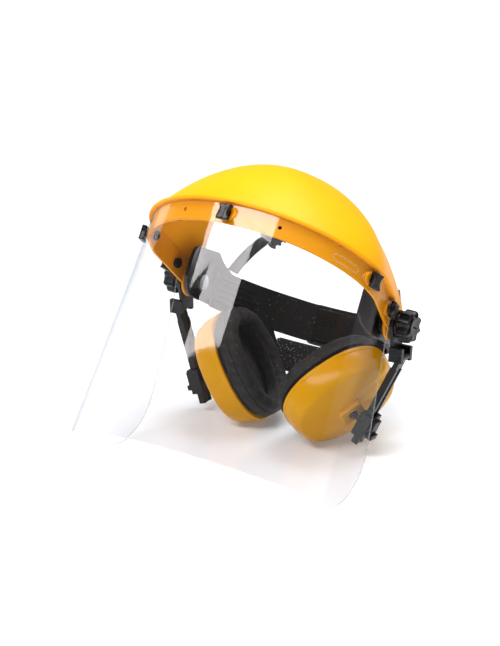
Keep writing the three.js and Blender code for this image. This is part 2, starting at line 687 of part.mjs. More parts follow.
function ballStud(side) {
  const flange = ARM_THICKNESS / 2 + 0.9;
  const profile = [[0, flange], [2.2, flange], [2.2, BALL_REACH - BALL_RADIUS + 0.6]];
  for (let step = 0; step <= 5; step += 1) {
    const angle = radians(-58 + (148 * step) / 5);
    profile.push([BALL_RADIUS * Math.cos(angle), BALL_REACH + BALL_RADIUS * Math.sin(angle)]);
  }
  profile[profile.length - 1][0] = 0;
  const stud = new THREE.LatheGeometry(profile.map(([x, y]) => new THREE.Vector2(x, y)), 12);
  return stud.rotateZ(side * (Math.PI / 2));
}

// Cup frame: +X outward from the head on a left cup, Y fore and aft, Z its height.
function cupOutline(scale, grow = 0, count = 28) {
  return Array.from({ length: count }, (_, point) => {
    const angle = (2 * Math.PI * point) / count;
    const power = 2 / 2.3;
    const c = Math.cos(angle);
    const s = Math.sin(angle);
    return [
      (CUP_HALF_WIDTH * scale + grow) * Math.sign(c) * Math.abs(c) ** power,
      (CUP_HALF_HEIGHT * scale + grow) * Math.sign(s) * Math.abs(s) ** power,
    ];
  });
}

function cupRing(x, scale, grow) {
  return cupOutline(scale, grow).map(([y, z]) => new THREE.Vector3(x, y, z));
}

const CUP_PROFILE = [[0, 1], [6, 1], [14, 0.94], [20, 0.86], [25, 0.73], [CUP_DEPTH, 0.5]];

function cupShell(side) {
  const outer = loft(CUP_PROFILE.map(([x, scale]) => cupRing(x, scale, 0)));
  const inner = loft([[-1, 1], ...CUP_PROFILE.slice(1)].map(
    ([x, scale], level) => cupRing(level ? x - CUP_WALL : x, scale, -CUP_WALL),
  ));
  const saddle = box(9, 16, 20).translate(CUP_DEPTH - 1.5, 0, 0);
  const socket = rodX(BALL_RADIUS + GAP, CUP_DEPTH - 2.2, CUP_DEPTH + 10, 12);
  const shell = shaped(outer, [saddle], [inner, socket]);
  return side > 0 ? shell : mirrored(shell);
}

function mirrored(geometry) {
  const flipped = geometry.clone().scale(-1, 1, 1);
  flipped.setIndex([...flipped.index.array].reverse());
  flipped.computeVertexNormals();
  return flipped;
}

function cupPlate(side) {
  const outer = loft([cupRing(-3, 0.94, 0), cupRing(-GAP, 0.94, 0)]);
  const inner = loft([cupRing(-5, 0.7, 0), cupRing(3, 0.7, 0)]);
  const plate = shaped(outer, [], [inner]);
  return side > 0 ? plate : mirrored(plate);
}

function earCushion(side) {
  const outline = cupOutline(1, 0, 28);
  const rings = outline.map(([y, z], point) => {
    const [beforeY, beforeZ] = outline[(point + 27) % 28];
    const [afterY, afterZ] = outline[(point + 1) % 28];
    const outward = new THREE.Vector3(0, afterZ - beforeZ, beforeY - afterY).normalize();
    const section = [[-0.6, -3 - GAP], [-0.6, -11], [-4, -16], [-9, -18], [-13, -16],
      [-15, -11], [-14, -3 - GAP]];
    return section.map(([across, x]) => new THREE.Vector3(x, y, z).addScaledVector(outward, across));
  });
  const cushion = loft(rings, true);
  return side > 0 ? cushion : mirrored(cushion);
}

function cupFoam(side) {
  const foam = loft([cupRing(1.2, 0.9, 0), cupRing(6, 0.9, 0), cupRing(9, 0.86, 0)]);
  return side > 0 ? foam : mirrored(foam);
}

// ---- Assembly ----
const group = new THREE.Group();
const stand = new THREE.Group();
group.add(stand);

function add(parent, name, geometry, material) {
  const mesh = new THREE.Mesh(geometry, material);
  mesh.name = name;
  parent.add(mesh);
  return mesh;
}

const brow = new THREE.Group();
brow.position.z = PIVOT_HEIGHT;
brow.rotation.x = -radians(BROW_PITCH);
stand.add(brow);
add(brow, 'brow_guard', browGuard(), YELLOW_GUARD);
add(brow, 'visor', visorSheet(), CLEAR);
add(brow, 'sweatband_carrier', sweatbandCarrier(), BLACK_PLASTIC);
add(brow, 'sweatband', sweatbandStrip(-16, -9.4, SWEATBAND_ANGLE - 1, 1.6), KNIT);
for (const [name, forward, side] of TOGGLES) {
  const place = onBand(stationAt(forward, side));
  add(brow, `toggle_${name}`, toggleHead().applyMatrix4(place), BLACK_PLASTIC);
  add(brow, `retainer_${name}`, toggleRetainer().applyMatrix4(place), BLACK_PLASTIC);
}

const headgear = new THREE.Group();
headgear.position.z = PIVOT_HEIGHT;
headgear.rotation.x = -radians(HEAD_PITCH);
stand.add(headgear);
add(headgear, 'ratchet_housing', ratchetHousing(), BLACK_PLASTIC);
add(headgear, 'ratchet_knob', ratchetKnob(), BLACK_PLASTIC);
add(headgear, 'crown_pin', crownPin(), BLACK_PLASTIC);
add(headgear, 'crown_buckle', crownBuckle(), BLACK_PLASTIC);
add(headgear, 'nape_pad', napePad(), KNIT);
for (const [name, side] of [['left', 1], ['right', -1]]) {
  add(headgear, `temple_plate_${name}`, templePlate(side), BLACK_PLASTIC);
  add(headgear, `rear_strap_${name}`, rearStrap(side), BLACK_STRAP);
  add(headgear, `crown_strap_${name}`, crownStrap(side), BLACK_STRAP);
  add(headgear, `nape_strap_${name}`, napeStrap(side), BLACK_STRAP);
  add(headgear, `pivot_bolt_${name}`, pivotBolt(side), STEEL);
  add(headgear, `friction_spacer_${name}`, frictionSpacer(side), BLACK_PLASTIC);
  add(headgear, `pivot_knob_${name}`, pivotKnob(side), BLACK_PLASTIC);
}

for (const { side, name, swing, fold, slide, lean, yaw, spin } of MUFFS) {
  const arm = new THREE.Group();
  arm.position.z = PIVOT_HEIGHT;
  arm.rotation.x = -radians(swing);
  stand.add(arm);
  add(arm, `arm_bracket_${name}`, armBracket(side), BLACK_PLASTIC);
  add(arm, `fold_pin_${name}`, foldPin(side), STEEL);
  const bar = new THREE.Group();
  bar.position.set(side * PIN_SIDE, 0, -HINGE_DROP);
  bar.rotation.y = side * radians(fold);
  arm.add(bar);
  add(bar, `arm_bar_${name}`, armBar(), BLACK_PLASTIC);
  const slider = new THREE.Group();
  slider.position.z = -slide;
  bar.add(slider);
  add(slider, `arm_slider_${name}`, armSlider(side), BLACK_PLASTIC);
  add(slider, `slider_clip_${name}`, sliderClip(side), BLACK_PLASTIC);
  add(slider, `ball_stud_${name}`, ballStud(side), BLACK_PLASTIC);
  stand.updateMatrixWorld(true);
  const ball = slider.localToWorld(new THREE.Vector3(-side * BALL_REACH, 0, 0));
  const cup = new THREE.Group();
  cup.rotation.set(radians(spin), side * radians(lean), -side * radians(yaw), 'ZYX');
  cup.position.copy(ball);
  stand.add(cup);
  const inCup = new THREE.Group();
  inCup.position.x = -side * (CUP_DEPTH + 2.2);
  cup.add(inCup);
  add(inCup, `cup_shell_${name}`, cupShell(side), YELLOW_CUP);
  add(inCup, `cup_plate_${name}`, cupPlate(side), BLACK_PLASTIC);
  add(inCup, `ear_cushion_${name}`, earCushion(side), CUSHION_SKIN);
  add(inCup, `cup_foam_${name}`, cupFoam(side), FOAM);
}

// Origin: middle of the box's underside.
stand.updateMatrixWorld(true);
const bounds = new THREE.Box3().setFromObject(stand, true);
stand.position.set(-(bounds.min.x + bounds.max.x) / 2, -(bounds.min.y + bounds.max.y) / 2, -bounds.min.z);
group.updateMatrixWorld(true);

export default group;
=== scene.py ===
"""Looks of the forestry face protection set.

Shapes are made in millimetres, in the frame of the group that they belong to: the brow, the head or a cup.
"""
import math
import bmesh
import bpy
import numpy as np
from mathutils import Matrix, Vector


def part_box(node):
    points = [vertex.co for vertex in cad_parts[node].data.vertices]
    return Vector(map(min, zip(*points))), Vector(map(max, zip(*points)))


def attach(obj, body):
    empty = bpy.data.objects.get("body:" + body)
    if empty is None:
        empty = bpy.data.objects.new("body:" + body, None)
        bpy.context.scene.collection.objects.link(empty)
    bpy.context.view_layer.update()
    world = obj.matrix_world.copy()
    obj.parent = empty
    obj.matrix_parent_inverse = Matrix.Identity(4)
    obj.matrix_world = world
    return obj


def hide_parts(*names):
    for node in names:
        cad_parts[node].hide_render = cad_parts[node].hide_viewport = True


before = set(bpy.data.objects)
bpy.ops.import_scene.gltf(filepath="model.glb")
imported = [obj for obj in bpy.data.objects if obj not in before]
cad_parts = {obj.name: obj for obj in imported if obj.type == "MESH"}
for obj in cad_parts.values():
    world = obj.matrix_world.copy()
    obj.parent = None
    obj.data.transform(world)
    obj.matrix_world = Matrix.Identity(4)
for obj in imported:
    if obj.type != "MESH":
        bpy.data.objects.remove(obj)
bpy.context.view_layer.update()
scene = bpy.context.scene

# ---- Dimensions shared with the CAD ----
BROW_PITCH, HEAD_PITCH = 37, 32
BROW_HALF_WIDTH, PIVOT_HALF_WIDTH = 98, 91
NOSE_START, NOSE_LENGTH = 50, 76
BAND_RISE, BAND_HALF_HEIGHT, WALL = 0.203, 8, 2.4
LIP_REACH, LIP_THICKNESS = 4.2, 3
CROWN_FORWARD, CROWN_HEIGHT, DOME_REAR = 58, 86, -13
DOME_FRONT_POWER, DOME_SIDE_POWER = 0.87, 0.64  # height falls as (1 - reach squared) to this power
REAR_EDGE_LEAN, REAR_EDGE_CROSSING = 40, 24
VISOR_LENGTH = 152
VISOR_EDGE = [(24, 60), (24, 18), (18, 12), (13, -8), (9, -18), (5, -34), (-4, -62), (-12, -98)]
TOGGLES = {  # name: forward distance, side
    "centre": (126, 0),
    "front_left": (66, 1), "front_right": (66, -1),
    "rear_left": (25, 1), "rear_right": (25, -1),
}
BOSS_RADIUS, BOSS_HEIGHT, BOSS_OVAL = 5.5, 1.8, (1.3, 1)
HEAD_HALF_WIDTH, HEAD_REAR = 78, 100
STRAP, GAP = 2.2, 0.3
STRAP_HALF_HEIGHT = 15.5
SWEATBAND_LIFT = 7.5
CROWN_STRAP_INSET, CROWN_STRAP_HEIGHT, CROWN_STRAP_HALF_WIDTH = 3.4, 76, 7.5
NAPE_RADIUS, NAPE_BACK, NAPE_DROP = 104, 87.5, 32
ADJUSTER_START, ADJUSTER_DEPTH = 3 * GAP + 2 * STRAP, 8  # outward from the rear straps' inner face
HINGE_DROP, PIN_SIDE, BALL_REACH = 24, 101.4, 13
KNOB_START = 96.8
CUP_HALF_HEIGHT, CUP_HALF_WIDTH, CUP_DEPTH = 45.5, 36, 28
MUFFS = {
    "left": dict(side=1, swing=8, fold=24, slide=64, lean=23, yaw=31, spin=-56),
    "right": dict(side=-1, swing=0, fold=17, slide=62, lean=29.5, yaw=12, spin=-10),
}
SIDES = (("left", 1), ("right", -1))
UP = np.array((0.0, 0.0, 1.0))

# ---- Frames ----
low, high = (np.array(corner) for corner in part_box("pivot_bolt_left"))
PIVOT = Vector((0, (low[1] + high[1]) / 2, (low[2] + high[2]) / 2))


def turn(axis, degrees):
    return Matrix.Rotation(math.radians(degrees), 4, axis)


def shift(x, y, z):
    return Matrix.Translation((x, y, z))


STAND = Matrix.Translation(PIVOT) @ Matrix.Scale(0.001, 4)
BROW = STAND @ turn("X", -BROW_PITCH)
HEAD = STAND @ turn("X", -HEAD_PITCH)


def muff_frame(side, swing, fold, slide, lean, yaw, spin):
    """The cup's frame, reached through its arm, bar, slider and ball. The right cup is mirrored."""
    arm = STAND @ turn("X", -swing)
    bar = arm @ shift(side * PIN_SIDE, 0, -HINGE_DROP) @ turn("Y", side * fold)
    slider = bar @ shift(0, 0, -slide)
    ball = slider @ Vector((-side * BALL_REACH, 0, 0))
    cup = Matrix.Translation(ball) @ turn("Z", -side * yaw) @ turn("Y", side * lean) @ turn("X", spin)
    cup = cup @ Matrix.Scale(0.001, 4) @ shift(-side * (CUP_DEPTH + 2.2), 0, 0)
    if side < 0:
        cup = cup @ Matrix.Scale(-1, 4, (1, 0, 0))
    return cup


# ---- Shape helpers ----
def at(side, forward, up):
    return np.array((side, -forward, up), float)


def unit(vector):
    return vector / np.linalg.norm(vector)


def smooth(x, a, b):
    t = np.clip((x - a) / (b - a), 0, 1)
    return t * t * (3 - 2 * t)


def fillet(points, radius, steps=4):
    """Rounds the corners of a closed outline. radius is one number or one for each corner."""
    points = [np.array(p, float) for p in points]
    radii = radius if isinstance(radius, (list, tuple)) else [radius] * len(points)
    out = []
    for i, p in enumerate(points):
        a, b = points[i - 1] - p, points[(i + 1) % len(points)] - p
        la, lb = np.linalg.norm(a), np.linalg.norm(b)
        a, b = a / la, b / lb
        half = math.acos(np.clip(a @ b, -1, 1)) / 2
        cut = min(radii[i] / max(math.tan(half), 1e-3), 0.49 * la, 0.49 * lb)
        for k in range(steps + 1):
            t = k / steps
            out.append((1 - t) ** 2 * (p + a * cut) + 2 * t * (1 - t) * p + t * t * (p + b * cut))
    return np.array(out)


def rounded_box(x, y, radius, steps=5):
    return fillet([(-x / 2, -y / 2), (x / 2, -y / 2), (x / 2, y / 2), (-x / 2, y / 2)], radius, steps)


def circle(radius, count=48, lobes=0, depth=0.0, sharp=1.0):
    angle = np.linspace(0, 2 * np.pi, count, endpoint=False)
    wave = ((1 + np.cos(lobes * angle)) / 2) ** sharp if lobes else 1
    r = radius - depth * (1 - wave)
    return np.stack([r * np.cos(angle), r * np.sin(angle)], 1)


def grown(outline, amount):
    """The outline moved outward by amount along its own normals. It runs anticlockwise."""
    along = np.roll(outline, -1, 0) - np.roll(outline, 1, 0)
    normal = np.stack([along[:, 1], -along[:, 0]], 1)
    return outline + amount * normal / np.linalg.norm(normal, axis=1)[:, None]


def curve_point(a, b, c, d, x):
    """Point at x between b and c, on the smooth curve through all four."""
    return 0.5 * (2 * b + (c - a) * x + (2 * a - 5 * b + 4 * c - d) * x ** 2
                  + (3 * b - a - 3 * c + d) * x ** 3)


def rings_shape(rings, closed=False):
    """Joins rings of equally many points. An open row of rings gets a flat end at each side."""
    count = len(rings[0])
    faces = []
    for r in range(len(rings) if closed else len(rings) - 1):
        a, b = r * count, ((r + 1) % len(rings)) * count
        faces += [(a + c, a + (c + 1) % count, b + (c + 1) % count, b + c) for c in range(count)]
    if not closed:
        faces += [tuple(reversed(range(count))), tuple(range((len(rings) - 1) * count, len(rings) * count))]
    return np.concatenate(rings), faces


def stack(outline, levels):
    """A solid of one outline at several heights: levels are (height, how far the outline pulls in)."""
    return rings_shape([np.c_[grown(outline, -inset), np.full(len(outline), z)] for z, inset in levels])


def slab(outline, low, high, edge=0.6, steps=3):
    """A plate with rounded edges between two heights."""
    arc = [math.pi / 2 * k / steps for k in range(steps + 1)]
    levels = [(low + edge * (1 - math.sin(a)), edge * (1 - math.cos(a))) for a in reversed(arc)]
    levels += [(high - edge * (1 - math.sin(a)), edge * (1 - math.cos(a))) for a in arc]
    return stack(outline, levels)


def lathe(profile, count=40, squash=(1, 1)):
    """A turned shape. profile is (radius, height) from one end to the other."""
    angle = np.linspace(0, 2 * np.pi, count, endpoint=False)
    return rings_shape([
        np.stack([r * squash[0] * np.cos(angle), r * squash[1] * np.sin(angle), np.full(count, z)], 1)
        for r, z in profile
    ])


def sweep(frames, section, closed=False):
    """section is one outline of (outward, up), or a function of the frame's number."""
    rings = []
    for i, (origin, outward, up) in enumerate(frames):
        s = section(i) if callable(section) else section
        rings.append(origin + s[:, :1] * outward + s[:, 1:] * up)
    return rings_shape(rings, closed)


def moved(shape, matrix):
    verts, faces = shape
    m = np.array(matrix)
    return verts @ m[:3, :3].T + m[:3, 3], faces


def joined(*shapes):
    verts, faces, base = [], [], 0
    for v, f in shapes:
        verts.append(v)
        faces += [tuple(base + i for i in face) for face in f]
        base += len(v)
    return np.concatenate(verts), faces


def basis(origin, x, y, z):
    m = np.eye(4)
    m[:3, 0], m[:3, 1], m[:3, 2], m[:3, 3] = x, y, z, origin
    return Matrix(m.tolist())


ALONG_X = basis((0, 0, 0), (0, 1, 0), (0, 0, 1), (1, 0, 0))  # a stack's height runs along +X


def along_x(side):
    return Matrix.Scale(-1, 4, (1, 0, 0)) @ ALONG_X if side < 0 else ALONG_X


def solid(name, shape, matrix):
    """A mesh object of the shape, placed by the matrix."""
    mesh = bpy.data.meshes.new(name)
    verts, faces = moved(shape, matrix)
    mesh.from_pydata(verts.tolist(), [], faces)
    bm = bmesh.new()
    bm.from_mesh(mesh)
    bmesh.ops.remove_doubles(bm, verts=bm.verts, dist=1e-6)
    bmesh.ops.recalc_face_normals(bm, faces=bm.faces)
    bm.to_mesh(mesh)
    bm.free()
    obj = bpy.data.objects.new(name, mesh)
    scene.collection.objects.link(obj)
    return obj


def apply(obj):
    """Turns the object's modifiers into its mesh."""
    bpy.context.view_layer.update()
    mesh = bpy.data.meshes.new_from_object(obj.evaluated_get(bpy.context.evaluated_depsgraph_get()))
    obj.modifiers.clear()
    obj.data = mesh


def drilled(obj, shapes, matrix):
    """Cuts the shapes out of the object."""
    cutter = solid("cutter", joined(*shapes), matrix)
    m = obj.modifiers.new("cut", "BOOLEAN")
    m.object, m.operation, m.solver = cutter, "DIFFERENCE", "EXACT"
    m.use_self = True
    apply(obj)
    bpy.data.objects.remove(cutter)


def declare(obj, body, finish, *nodes, sharp=32):
    """Gives the object its finish and the body it rides, and hides the CAD nodes that it replaces."""
    obj.data.materials.clear()
    obj.data.materials.append(MATERIALS[finish])
    obj.data.shade_smooth()
    obj.data.set_sharp_from_angle(angle=math.radians(sharp))
    if not any(m.type == "WEIGHTED_NORMAL" for m in obj.modifiers):
        m = obj.modifiers.new("normals", "WEIGHTED_NORMAL")
        m.keep_sharp = True
    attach(obj, body)
    if nodes:
        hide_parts(*nodes)
    return obj


def piece(name, shape, matrix, body, finish, *nodes, sharp=32):
    return declare(solid(name, shape, matrix), body, finish, *nodes, sharp=sharp)


# ---- Materials ----
class Nodes:
    """A small builder of one node material."""

    def __init__(self, name):
        self.material = bpy.data.materials.new(name)
        self.material.use_nodes = True
        self.tree = self.material.node_tree
        self.tree.nodes.clear()
        self.out = self.tree.nodes.new("ShaderNodeOutputMaterial")
        self.coords = self.tree.nodes.new("ShaderNodeTexCoord").outputs["Object"]

    def node(self, kind, links=(), **values):
        n = self.tree.nodes.new("ShaderNode" + kind)
        for key, value in values.items():
            setattr(n, key, value)
        for socket, source in dict(links).items():
            if isinstance(source, bpy.types.NodeSocket):
                self.tree.links.new(source, n.inputs[socket])
            else:
                n.inputs[socket].default_value = source
        return n

    def scaled(self, x, y, z):
        return self.node("Mapping", {"Vector": self.coords, "Scale": (x, y, z)}).outputs[0]

    def noise(self, scale, detail=3, vector=None, roughness=0.5):
        links = {"Vector": vector or self.coords, "Scale": scale, "Detail": detail, "Roughness": roughness}
        return self.node("TexNoise", links).outputs[0]

    def waves(self, scale, direction):
        links = {"Vector": self.coords, "Scale": scale, "Distortion": 1.2, "Detail": 1}
        return self.node("TexWave", links, bands_direction=direction).outputs[1]

    def cells(self, scale, feature="F1"):
        n = self.node("TexVoronoi", {"Vector": self.coords, "Scale": scale}, feature=feature)
        return n.outputs["Distance"]

    def flecks(self, scale, rarity, size):
        """Small round specks in the share of cells above rarity."""
        dots = self.node("TexVoronoi", {"Vector": self.coords, "Scale": scale}, feature="F1")
        draw = self.node("SeparateColor", {0: dots.outputs["Color"]}).outputs[0]
        chosen = self.span(draw, rarity, rarity + 0.03, 0, 1)
        return self.math("MULTIPLY", self.span(dots.outputs["Distance"], size * 0.5, size, 1, 0), chosen)

    def span(self, value, a, b, low, high):
        """Maps the range a to b onto low to high, clamped."""
        links = {"Value": value, "From Min": a, "From Max": b, "To Min": low, "To Max": high}
        return self.node("MapRange", links).outputs[0]

    def math(self, operation, a, b=0.0):
        return self.node("Math", {0: a, 1: b}, operation=operation).outputs[0]

    def mix(self, factor, a, b):
        a, b = ((*colour, 1) if isinstance(colour, tuple) else colour for colour in (a, b))
        return self.node("MixRGB", {0: factor, 1: a, 2: b}).outputs[0]

    def bump(self, height, distance, strength=1.0, normal=None):
        links = {"Height": height, "Distance": distance, "Strength": strength}
        if normal:
            links["Normal"] = normal
        return self.node("Bump", links).outputs[0]

    def finish(self, shader):
        self.tree.links.new(shader.outputs[0], self.out.inputs[0])
        return self.material

    def surface(self, links):
        return self.finish(self.node("BsdfPrincipled", links))


def shell_plastic(name, deep, bright, rough, coat, gloss):
    """Moulded coloured plastic: slow colour drift, fine orange peel, faint scratches and dust."""
    n = Nodes(name)
    drift = n.noise(14, 2)
    peel = n.noise(420, 2)
    scratch = n.noise(60, 3, n.scaled(1, 9, 2), 0.6)
    colour = n.mix(n.span(drift, 0.35, 0.65, 0, 1), deep, bright)
    dust = n.span(n.noise(900, 1), 0.76, 0.82, 0, 0.2)
    colour = n.mix(dust, colour, (0.75, 0.7, 0.5))
    roughness = n.span(scratch, 0.35, 0.7, rough - 0.03, rough + 0.1)
    return n.surface({
        "Base Color": colour, "Roughness": roughness,
        "Normal": n.bump(peel, 0.00006, 0.5), "IOR": 1.5, "Specular IOR Level": gloss,
        "Coat Weight": coat, "Coat Roughness": 0.12,
    })


def black_plastic():
    n = Nodes("black_plastic")
    grain = n.noise(1500, 2)
    drift = n.noise(40, 3)
    specks = n.span(n.noise(1100, 1), 0.72, 0.78, 0, 0.5)
    colour = n.mix(n.span(drift, 0.3, 0.7, 0, 1), (0.003, 0.003, 0.0035), (0.008, 0.008, 0.009))
    return n.surface({
        "Base Color": n.mix(specks, colour, (0.05, 0.05, 0.055)),
        "Roughness": n.span(drift, 0.3, 0.7, 0.22, 0.38),
        "Normal": n.bump(grain, 0.00008, 0.5), "Specular IOR Level": 0.28,
    })


def strap_plastic():
    n = Nodes("strap_plastic")
    grain = n.noise(1300, 3)
    specks = n.flecks(620, 0.86, 0.26)
    drift = n.span(n.noise(30, 3), 0.3, 0.7, 0, 1)
    colour = n.mix(drift, (0.0035, 0.0034, 0.0034), (0.009, 0.0088, 0.0088))
    return n.surface({
        "Base Color": n.mix(specks, colour, (0.3, 0.3, 0.3)),
        "Roughness": n.span(grain, 0.3, 0.7, 0.45, 0.62),
        "Normal": n.bump(grain, 0.00015, 0.6), "Specular IOR Level": 0.22,
    })


def knit():
    """Ribbed knit: rows of small loops, with light flecks on black yarn."""
    n = Nodes("knit")
    loops = n.math("MULTIPLY", n.waves(330, "X"), n.waves(300, "Z"))
    fuzz = n.noise(2600, 2)
    flecks = n.flecks(800, 0.62, 0.34)
    colour = n.mix(loops, (0.003, 0.003, 0.003), (0.018, 0.017, 0.017))
    height = n.math("ADD", loops, n.math("MULTIPLY", fuzz, 0.4))
    return n.surface({
        "Base Color": n.mix(flecks, colour, (0.5, 0.5, 0.5)), "Roughness": n.span(fuzz, 0.3, 0.7, 0.85, 1),
        "Sheen Weight": 0.08, "Sheen Roughness": 0.5, "Normal": n.bump(height, 0.0005, 0.9),
    })


def cushion_skin():
    """Soft grained skin with fine wrinkles."""
    n = Nodes("cushion_skin")
    grain = n.cells(850, "DISTANCE_TO_EDGE")
    fine = n.noise(1800, 3)
    wrinkle = n.noise(90, 3, n.scaled(1, 1, 2.4))
    tone = n.span(wrinkle, 0.3, 0.7, 0, 1)
    colour = n.mix(tone, (0.012, 0.0115, 0.0115), (0.03, 0.0285, 0.0285))
    colour = n.mix(n.span(grain, 0.0, 0.12, 0.5, 0), colour, (0.004, 0.004, 0.004))
    colour = n.mix(n.flecks(560, 0.88, 0.22), colour, (0.22, 0.22, 0.22))
    height = n.math("ADD", n.span(grain, 0, 0.2, 0, 1), n.math("MULTIPLY", fine, 0.5))
    normal = n.bump(wrinkle, 0.0012, 0.45)
    return n.surface({
        "Base Color": colour, "Roughness": n.span(fine, 0.3, 0.7, 0.42, 0.6),
        "Normal": n.bump(height, 0.00012, 0.7, normal),
        "Sheen Weight": 0.05, "Specular IOR Level": 0.2,
    })


def foam():
    n = Nodes("foam")
    pores = n.cells(520)
    fine = n.cells(1400)
    colour = n.mix(n.span(pores, 0.1, 0.6, 0, 1), (0.004, 0.004, 0.004), (0.03, 0.03, 0.032))
    colour = n.mix(n.flecks(640, 0.84, 0.24), colour, (0.2, 0.2, 0.2))
    height = n.math("ADD", pores, n.math("MULTIPLY", fine, 0.4))
    return n.surface({
        "Base Color": colour, "Roughness": n.span(fine, 0.1, 0.6, 0.9, 1),
        "Normal": n.bump(height, 0.0009, 0.9),
    })


def steel():
    n = Nodes("steel")
    brushed = n.noise(700, 3, n.scaled(0.06, 1, 1))
    colour = n.mix(brushed, (0.42, 0.43, 0.45), (0.62, 0.63, 0.64))
    return n.surface({
        "Base Color": colour, "Metallic": 1.0, "Roughness": n.span(brushed, 0.3, 0.7, 0.24, 0.4),
        "Normal": n.bump(brushed, 0.00008, 0.4),
    })


def clear_sheet():
    """Clear sheet with a faint grey tint and mirror, both stronger at a slant, and slight waves and haze."""
    n = Nodes("clear_sheet")
    wave = n.noise(9, 2)
    haze = n.noise(160, 3)
    normal = n.bump(wave, 0.0004, 0.2)
    shine = n.node("BsdfGlossy", {
        "Color": (1, 0.985, 0.99, 1), "Roughness": n.span(haze, 0.3, 0.7, 0.015, 0.05), "Normal": normal,
    })
    facing = n.node("LayerWeight", {"Blend": 0.5, "Normal": normal}).outputs["Facing"]
    grazing = n.math("POWER", facing, 5.0)
    tint = n.mix(haze, (0.93, 0.934, 0.94), (0.94, 0.944, 0.95))
    clear = n.node("BsdfTransparent", {"Color": n.mix(grazing, tint, (0.72, 0.725, 0.735))})
    mirror = n.math("ADD", n.math("MULTIPLY", grazing, 0.045), 0.017)
    return n.finish(n.node("MixShader", {0: mirror, 1: clear.outputs[0], 2: shine.outputs[0]}))


def sheet_edge():
    """Cut edge of the clear sheet: pale, lightly frosted, mostly see-through."""
    n = Nodes("sheet_edge")
    frost = n.noise(500, 3)
    clear = n.node("BsdfTransparent", {"Color": (0.93, 0.93, 0.93, 1)})
    pale = n.node("BsdfPrincipled", {
        "Base Color": n.mix(frost, (0.42, 0.42, 0.42), (0.58, 0.58, 0.58)),
        "Roughness": n.span(frost, 0.3, 0.7, 0.2, 0.35), "Normal": n.bump(frost, 0.0001, 0.5),
    })
    share = n.span(frost, 0.3, 0.7, 0.34, 0.46)
    return n.finish(n.node("MixShader", {0: share, 1: clear.outputs[0], 2: pale.outputs[0]}))


MATERIALS = {
    "sheet_edge": sheet_edge(),
    "guard_yellow": shell_plastic(
        "guard_yellow", deep=(0.9, 0.355, 0.001), bright=(0.95, 0.4, 0.003),
        rough=0.4, coat=0.0, gloss=0.16,
    ),
    # Same plastic as guard_yellow, made darker: painted shade for the band, pivot pads and bosses, which sit
    # under the dome and face down.
    "guard_orange": shell_plastic(
        "guard_orange", deep=(0.8, 0.295, 0.001), bright=(0.86, 0.34, 0.002),
        rough=0.4, coat=0.0, gloss=0.16,
    ),
    "cup_yellow": shell_plastic(
        "cup_yellow", deep=(0.67, 0.31, 0.001), bright=(0.73, 0.36, 0.002),
        rough=0.2, coat=0.1, gloss=0.1,
    ),
    "clear_sheet": clear_sheet(),
    "black_plastic": black_plastic(),
    "strap_plastic": strap_plastic(),
    "knit": knit(),
    "cushion_skin": cushion_skin(),
    "foam": foam(),
    "steel": steel(),
}

# ---- Plan of the brow guard. A station is (side, forward, outward direction) ----
SPLAY = (BROW_HALF_WIDTH - PIVOT_HALF_WIDTH) / NOSE_START


def nose_station(angle):
    outward = unit(at(math.sin(angle) / BROW_HALF_WIDTH, math.cos(angle) / NOSE_LENGTH, 0))
    return BROW_HALF_WIDTH * math.sin(angle), NOSE_START + NOSE_LENGTH * math.cos(angle), outward


def arm_station(side, forward):
    reach = PIVOT_HALF_WIDTH + SPLAY * max(forward, 0)
    return side * reach, forward, unit(at(side, -SPLAY if forward > 0 else 0, 0))


def stations_from(rear, arm_steps=10, nose_steps=96):
    """Stations along the band: up the right arm, round the nose and down the left arm."""
    arms = np.linspace(rear, NOSE_START, arm_steps, endpoint=False)
    nose = [nose_station(a) for a in np.radians(np.linspace(-90, 90, nose_steps + 1))]
    return [arm_station(-1, f) for f in arms] + nose + [arm_station(1, f) for f in arms[::-1]]


def station_at(forward, side):
    if side == 0:
        return nose_station(0)
    if forward < NOSE_START:
        return arm_station(side, forward)
    return nose_station(side * math.acos((forward - NOSE_START) / NOSE_LENGTH))


def band_frame(station):
    side, forward, outward = station
    return at(side, forward, BAND_RISE * forward), outward, UP


def on_band(station, lift=0.0, up=0.0):
    """Frame on the band's outer face: X along, Y up, Z outward."""
    origin, outward, _ = band_frame(station)
    return basis(origin + outward * lift + UP * up, unit(np.cross(UP, outward)), UP, outward)


def hole(radius, matrix, squash=(1, 1)):
    """A rod that cuts a round or oval hole."""
    return moved(lathe([(radius, -9), (radius, 9)], 32, squash), matrix)


# ---- Brow guard ----
def brow_band():
    """Band with a lip that fades out along the arms, four small holes and the two pivot holes."""
    stations = stations_from(DOME_REAR)

    def section(i):
        forward = stations[i][1]
        lip = smooth(forward, 6, 18)
        reach = 0.06 + (LIP_REACH - 0.06) * smooth(forward, 8, 22)
        under = BAND_HALF_HEIGHT - 1
        top = under + LIP_THICKNESS * lip + 0.9 * (1 - lip)
        points = [
            (-WALL, -BAND_HALF_HEIGHT), (0, -BAND_HALF_HEIGHT), (0, under),
            (reach, under + 0.1), (reach, top), (-WALL, top),
        ]
        return fillet(points, [0.5, 0.7, 0.9, 1.3, 1.3, 0.5], 5)

    band = sweep([band_frame(s) for s in stations], section)
    obj = solid("brow_band", band, BROW)
    holes = [hole(1.6, on_band(nose_station(math.radians(a)))) for a in (-73, -24.5, 24.5, 73)]
    holes += [hole(4, shift(side * 90, 0, 0) @ ALONG_X) for side in (1, -1)]
    drilled(obj, holes, BROW)
    return obj


